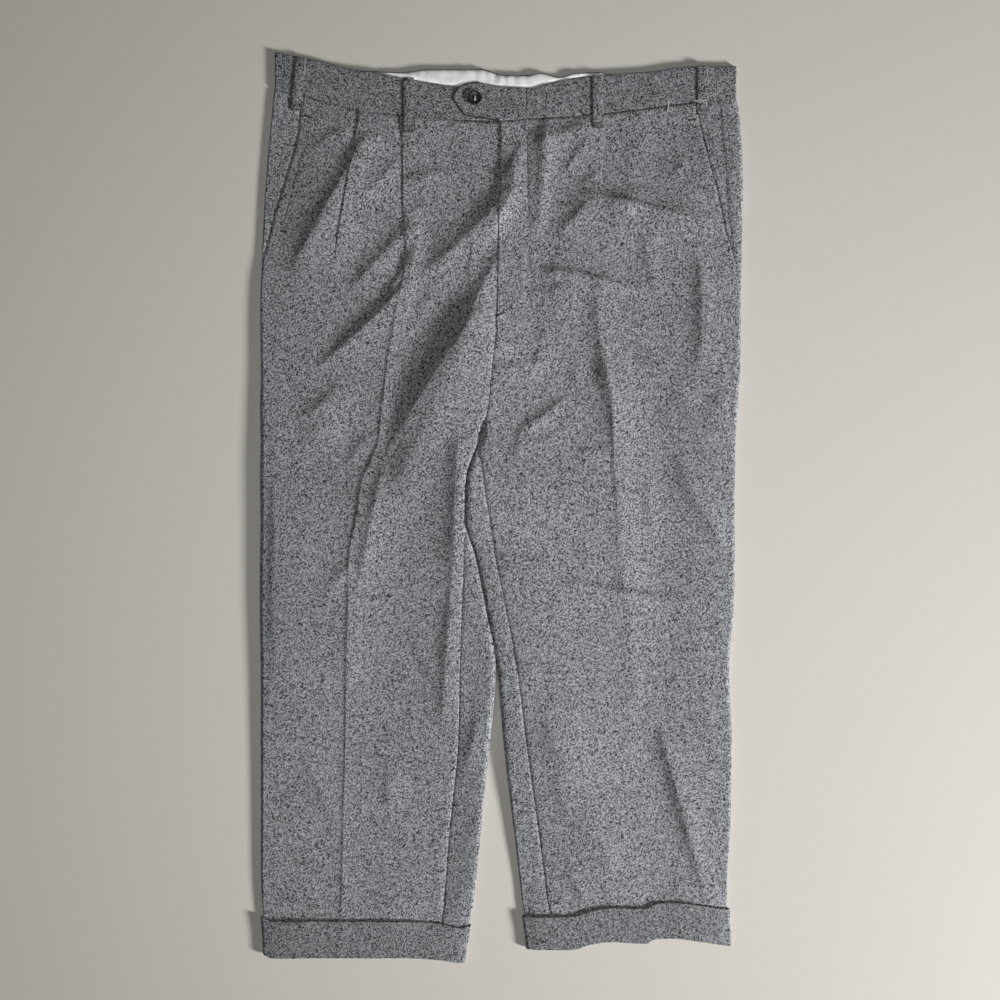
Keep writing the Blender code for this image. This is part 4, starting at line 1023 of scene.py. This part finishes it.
def cuffGrid(half):
    r, rows = turnUps["layer"], []
    nTurn, nTop, nFloor = turnUps["columns"]
    # each row's way out from the leg, share of the depth, what is added to its height, and whether it flares
    inside = [(r, f, 0.0, 1) for f in turnUps["inside"]]
    fold = [(1.5 * r - r / 2 * np.cos(a), turnUps["fold"], turnUps["foldRise"] * np.sin(a), 1)
            for a in np.linspace(0, pi, 7)]
    outside = [(2 * r, f, 0.0, 1) for f in turnUps["outside"]]
    hem = [(r + r * np.cos(a), 0.0, r - r * np.sin(a), 0) for a in np.linspace(0, pi, 9)]
    for out, share, more, flares in inside + fold + outside + hem:
        y = half.nominalHem + (40 * share if flares else more)
        y = max(y, half.nominalHem + cloth["legEnd"])
        quarter = pi * (edgeMid - floorHeight(half, y)) / 4
        edgeX, innerX = [float(wrap(half, y, quarter, line)[0]) for line in ("edge", "inner")]
        arc = np.linspace(-quarter, quarter, nTurn)
        x = edgeX + (innerX - edgeX) * np.linspace(0, 1, nTop)
        top = topHeight(half, x, y) + pressedCrease(half, x, y)
        parts = [np.stack(wrap(half, y, arc[:-1], "edge"), -1), np.stack([x, top], -1),
                 np.stack(wrap(half, y, arc[::-1][1:], "inner"), -1)]
        last, first = parts[-1][-1], parts[0][0]
        points = np.concatenate(parts + [last + (first - last) * np.linspace(0, 1, nFloor)[1:-1, None]])
        ahead = unit(np.roll(points, -1, 0) - points)
        along = unit(ahead + np.roll(ahead, 1, 0))
        outward = np.stack([-along[:, 1], along[:, 0]], 1) * half.inward
        x, onTop = points[:, 0], points[:, 1] > edgeMid - 1
        depth = cuffDepth(x)
        up = depth * share + more
        uneven = 0.75 + 0.25 * ripple(x, 0 * x, 22, 31)
        flare = turnUps["flare"] * np.exp(-((depth - up) / turnUps["flareReach"]) ** 2) * uneven
        place = points + outward * (out + flare * onTop * flares)[:, None]
        z = np.maximum(place[:, 1], turnUps["wall"] / 2 + cloth["clear"])
        rows.append(np.stack([place[:, 0], half.hem(x) + up, z], -1))
    return np.array(rows)


for half in halves:
    cuff = makeCloth("turnUp_" + half.name, cuffGrid(half), turnUps["wall"], suitingTurnUp, closed=True)
    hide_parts("cuff_" + half.name)
print("Turn-ups made")


# Heights of the finished cloth, for what lies on it
def surfaceOf(*names):
    trees = []
    for name in names:
        data = bpy.data.objects[name].data
        trees.append(BVHTree.FromPolygons([v.co for v in data.vertices], [p.vertices for p in data.polygons]))

    def at(x, y):
        hits = [tree.ray_cast(Vector((x * 0.001, y * 0.001, 0.06)), Vector((0, 0, -1)))[0] for tree in trees]
        return max((hit.z * 1000 for hit in hits if hit is not None), default=0.0)

    return at


bandSurface = surfaceOf(*[kind + half.name for kind in ("waistbandStrip_", "frontPanel_", "pocketFacing_")
                          for half in halves])
tabSurface = surfaceOf("waistTab", "waistbandStrip_right")


def onCloth(points, up=0.0, top=bandSurface):
    return [(x, y, top(x, y) + up) for x, y in points]


# Belt loops: doubled at the top edge and tacked down just below the waist seam
loops = {"width": 11.0, "wall": 0.6, "bow": 0.3, "fold": 0.35}
loopPlaces = {  # top edge, then foot
    "belt_loop_1": (-205, 481.5, -211, 430),
    "belt_loop_2": (-93, 461, -93, 407),
    "belt_loop_3": (104.5, 463.5, 105, 411),
    "belt_loop_4": (214, 472.8, 214.5, 425),
}


def alongLoop(place, share):
    topX, topY, footX, footY = place
    return topX + (footX - topX) * share, topY + (footY - topY) * share


def loopGrid(place):
    down, across = np.linspace(0, 1, 40), np.linspace(-0.5, 0.5, 9)
    x, y = alongLoop(place, down)
    centre, left, right = [[bandSurface(px + side * loops["width"], py - 1.0) for px, py in zip(x, y)]
                           for side in (0, -0.4, 0.4)]
    centre = np.convolve(np.pad(centre, 4, mode="edge"), np.ones(9) / 9, "valid")
    rest = np.maximum(centre, np.maximum(left, right) - 0.2)
    bow = loops["bow"] * np.sin(pi * np.minimum(down / 0.82, 1)) ** 0.7
    folds = loops["fold"] * (np.exp(-(down / 0.07) ** 4) + 0.8 * np.exp(-((1 - down) / 0.07) ** 4))
    z = rest + loops["wall"] / 2 + 0.05 + bow + folds
    tack = 0.5 * np.exp(-((down - 0.93) / 0.018) ** 2) + 0.4 * np.exp(-((down - 0.085) / 0.02) ** 2)
    x = x[:, None] + across * loops["width"] * (1 - 0.06 * bow / loops["bow"])[:, None]
    edge = 0.35 * (np.abs(across) * 2) ** 6
    return np.stack([x, y[:, None] + 0 * x, (z - tack)[:, None] - edge], -1)


for name, place in loopPlaces.items():
    loop = makeCloth("loopStrap_" + name[-1], loopGrid(place), loops["wall"], suitingTurnUp)
    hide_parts(name)
print("Belt loops made")

# Button, sewn on through four holes
button = {
    "place": (-23.5, 439.4),
    "profile": ((0, 0), (5.4, 0), (6.5, 0.3), (7.2, 0.85), (7.5, 1.4), (7.42, 1.95), (7.05, 2.4), (6.55, 2.6),
                (6.0, 2.5), (5.4, 2.15), (4.8, 1.85), (4.0, 1.66), (2.6, 1.6), (0, 1.58)),
    "hole": 0.75,
    "holeAt": 1.7,       # from the middle
    "threadTop": 1.75,   # above the underside
}


def makeButton():
    x, y = button["place"]
    base = tabSurface(x, y) + 0.25
    mesh = bmesh.new()
    points = [mesh.verts.new((px, 0, pz)) for px, pz in button["profile"]]
    edges = [mesh.edges.new(pair) for pair in zip(points, points[1:])]
    bmesh.ops.spin(mesh, geom=points + edges, axis=(0, 0, 1), cent=(0, 0, 0), steps=56, angle=2 * pi,
                   use_merge=True, use_duplicate=False)
    bmesh.ops.remove_doubles(mesh, verts=mesh.verts, dist=1e-3)
    disc = [tuple(v.co) for v in mesh.verts]
    faces = [[v.index for v in f.verts] for f in mesh.faces]
    mesh.free()
    placed = [(px + x, py + y, pz + base) for px, py, pz in disc]
    made = makeObject("hornButton", placed, faces, darkHorn)
    for k in range(4):
        angle = pi / 4 + k * pi / 2 + 0.05
        hole = bmesh.new()
        wide = button["hole"]
        bmesh.ops.create_cone(hole, cap_ends=True, segments=20, radius1=wide, radius2=wide, depth=8)
        middle = Vector((x + button["holeAt"] * np.cos(angle), y + button["holeAt"] * np.sin(angle), base))
        for v in hole.verts:
            v.co = (v.co + middle + Vector(cloth["shift"])) * 0.001
        data = bpy.data.meshes.new("holeCutter")
        hole.to_mesh(data)
        hole.free()
        cutter = linked("holeCutter", data)
        cut = made.modifiers.new("hole", "BOOLEAN")
        cut.operation, cut.object, cut.solver = "DIFFERENCE", cutter, "EXACT"
        bpy.context.view_layer.update()
        solid = bpy.data.meshes.new_from_object(made.evaluated_get(bpy.context.evaluated_depsgraph_get()))
        made.modifiers.clear()
        made.data = solid
        bpy.data.objects.remove(cutter, do_unlink=True)
    made.data.shade_smooth()
    made.data.set_sharp_from_angle(angle=0.7)
    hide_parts("waist_button")
    return base + button["threadTop"]


def joinTubes(name, paths, radius, material):
    # closed tubes with rounded ends, along paths of at least two points
    sides = 6
    a = np.linspace(0, 2 * pi, sides, endpoint=False)[:, None]
    points, faces = [], []
    for path in paths:
        path = np.asarray(path, float)
        ahead = unit(np.gradient(path, axis=0))
        side = unit(np.cross(ahead, (0.13, 0.21, 0.97)))
        up = np.cross(side, ahead)
        pick = np.pad(np.arange(len(path)), 1, mode="edge")
        centres, sizes = path[pick], np.pad(np.ones(len(path)), 1, constant_values=0.35)
        centres[0] -= ahead[0] * radius * 0.6
        centres[-1] += ahead[-1] * radius * 0.6
        start = len(points)
        for centre, size, i in zip(centres, sizes, pick):
            points += list(centre + radius * size * (np.cos(a) * side[i] + np.sin(a) * up[i]))
        rings = np.arange(start, len(points)).reshape(-1, sides)
        faces += quadsOf(np.concatenate([rings, rings[:, :1]], 1))
        faces += [rings[0, ::-1].tolist(), rings[-1].tolist()]
    makeObject(name, points, faces, material)


def buttonThread(top):
    x, y = button["place"]
    paths = []
    for across in (-0.16, 0.16):
        for side, bow in ((-0.3125, 0.2), (0.3125, 0.25)):
            paths.append([(x + side + across, y + t, top + bow * (1 - (t / 1.6) ** 2) + 0.05)
                          for t in np.linspace(-2.3, 2.3, 9)])
    joinTubes("buttonThread", paths, 0.26, lightThread)


buttonThread(makeButton())
print("Button made")

# Stitching that shows: short stitches laid on the cloth; further down, near-black thread also paints the
# shadows round the tab and the loops
stitching = {"length": 2.6, "space": 0.7, "radius": 0.24, "heights": (-0.16, 0.02, 0.02, -0.16)}
stitchLines = {
    "flyStitching": ((28, 417), (31, 392), (32, 365), (32, 314), (31, 272), (28, 241), (18, 228),
                     (10, 221), (3, 217)),
    "pocketStitching_right": ((-193, 428), (-199, 398), (-207, 371), (-215, 345), (-222, 320), (-230, 298)),
    "pocketStitching_left": ((196, 424), (203, 402), (211, 380), (217, 355), (223, 330), (232, 304)),
}


def sewLine(name, points):
    points = np.array(points, float)
    way = np.concatenate([[0], np.cumsum(np.linalg.norm(np.diff(points, axis=0), axis=1))])
    x, y = smoothLine(way, points[:, 0]), smoothLine(way, points[:, 1])
    paths = []
    for start in np.arange(0, way[-1], stitching["length"] + stitching["space"]):
        ways = start + np.linspace(0, stitching["length"], 4)
        laid = onCloth(zip(x(ways), y(ways)))
        paths.append([(px, py, pz + up) for (px, py, pz), up in zip(laid, stitching["heights"])])
    joinTubes(name, paths, stitching["radius"], darkThreadAndShadow)


for name, points in stitchLines.items():
    sewLine(name, points)


def tabShadowOutline():
    # painted shadow round the tab, as one near-black thread from its lower end at the fly, round the point, to
    # its top edge
    lines = linesOf(tabOutline)
    x = np.linspace(tab["tip"] + 0.4, 2.0, 60)
    outline = [(px, float(lines["low"](px)) - 0.7) for px in x[::-1]]
    outline += [(tab["tip"] - 0.6, 441.2)] + [(px, float(lines["high"](px)) + 0.7) for px in x[:34]]
    under = surfaceOf("waistbandStrip_right", "frontPanel_right", "frontPanel_left", "liningStrip")
    joinTubes("tabShadowOutline", [onCloth(outline, 0.35, under)], 0.85, darkThreadAndShadow)


def loopTacksAndShadeLines():
    # rows of near-black thread across each loop, below its top edge and at its foot: the loops' tacks, which
    # also paint the shade line at the top fold and at the foot
    paths = []
    for name, place in loopPlaces.items():
        top = surfaceOf("loopStrap_" + name[-1])
        for share in (0.055, 0.925):
            x, y = alongLoop(place, share)
            paths.append(onCloth([(x + loops["width"] * w, y) for w in np.linspace(-0.42, 0.42, 7)], 0.02, top))
    joinTubes("loopTacksAndShadeLines", paths, 0.34, darkThreadAndShadow)


def loopShadowLines():
    # painted shadow of each loop, as near-black thread: down its side towards -X, round its foot and up to the
    # waist seam
    paths = []
    reach = loops["width"] / 2 + 0.4
    for place in loopPlaces.values():
        footX, footY = place[2:]
        edge = [(x - reach, y) for x, y in (alongLoop(place, f) for f in np.linspace(0.06, 1, 24))]
        edge += [(footX + w, footY - 1.0) for w in np.linspace(0.6 - reach, reach - 0.6, 7)]
        paths.append(onCloth(edge, 0.3))
        up = np.linspace(0.4, 0.9 * (waistSeam(footX) - footY), 7)
        paths.append(onCloth([(footX + reach, footY + w) for w in up]))
    joinTubes("loopShadowLines", paths, 0.6, darkThreadAndShadow)


tabShadowOutline()
loopTacksAndShadeLines()
loopShadowLines()

# Bar tacks at the pocket mouths and the end of the fly, and one loose end of white thread
barTacks = ((-202.0, 422.5, -194.5, 420.2), (-228.0, 303.0, -221.0, 301.0), (200.5, 417.6, 208.0, 419.2),
            (-2.5, 213.5, 5.5, 216.5))


def barTack(x0, y0, x1, y1):
    run = np.array((x1 - x0, y1 - y0))
    length = np.hypot(*run)
    ahead, across = run / length, np.array((-run[1], run[0])) / length
    paths = []
    for s in np.arange(0, length, 0.42):
        centre = np.array((x0, y0)) + ahead * s
        ends = [centre + across * w for w in (-0.8, 0, 0.8)]
        heights = [bandSurface(*e) for e in ends]
        level = max(heights) - 0.5  # it bridges the open seam
        paths.append([(*e, max(z, level) + h) for e, z, h in zip(ends, heights, (0.0, 0.14, 0.0))])
    return paths


joinTubes("barTacks", [path for tack in barTacks for path in barTack(*tack)], 0.2, darkThreadAndShadow)
fleckTop = bandSurface(177.8, 436) + 0.5
fleck = [(177.8 + 0.5 * np.sin(t * 3), 438 - 10.5 * t, fleckTop - 1.1 * t) for t in np.linspace(0, 1, 9)]
joinTubes("looseThread", [fleck], 0.42, lightThread)
print("Stitching made")

# Floor, light and camera
floorLook = {
    "size": 6.0, "color": (0.58, 0.555, 0.51), "shader": {"Roughness": 0.9, "Specular IOR Level": 0.2}}
lights = {
    "key": {"place": (2.86, -1.40, 1.04), "size": 0.55, "power": 216.0},
    "fill": {"place": (0.05, -0.03, 1.15), "size": 0.5, "power": 4.8},
    "sky": 0.022,
}
viewPoint = {"place": (0.0024, 0.0735, 1.070), "tilt": -2.9, "lens": 36.0}


def makeFloor():
    material, tree, shader = newMaterial("paleFloor")
    grain = noise(tree, clothPoint(tree, 0), 0.35, 2.0)
    dim = tuple(0.96 * c for c in floorLook["color"])
    dress(tree, shader, floorLook, ramp(tree, grain, [(0.3, dim), (0.7, floorLook["color"])]))
    mesh = bmesh.new()
    bmesh.ops.create_grid(mesh, x_segments=8, y_segments=8, size=floorLook["size"] / 2)
    data = bpy.data.meshes.new("floor")
    mesh.to_mesh(data)
    mesh.free()
    data.materials.append(material)
    floor = linked("floor", data)


def makeLights():
    for name in ("key", "fill"):
        look = lights[name]
        data = bpy.data.lights.new(name + "Light", "AREA")
        data.shape, data.size, data.energy = "DISK", look["size"], look["power"]
        light = linked(name + "Light", data)
        light.location = look["place"]
        light.rotation_euler = (-light.location).to_track_quat("-Z", "Y").to_euler()
    world = bpy.data.worlds.new("softSky")
    world.use_nodes = True
    background = world.node_tree.nodes["Background"]
    background.inputs["Color"].default_value = (1.0, 1.0, 1.0, 1.0)
    background.inputs["Strength"].default_value = lights["sky"]
    bpy.context.scene.world = world


def makeCamera():
    data = bpy.data.cameras.new("above")
    data.lens, data.sensor_width = viewPoint["lens"], 36.0
    camera = linked("above", data)
    camera.location = viewPoint["place"]
    camera.rotation_euler = (radians(viewPoint["tilt"]), 0, 0)
    bpy.context.scene.camera = camera


makeFloor()
makeLights()
makeCamera()
bpy.context.scene.view_settings.view_transform = "Standard"
print("Floor, light and camera made")
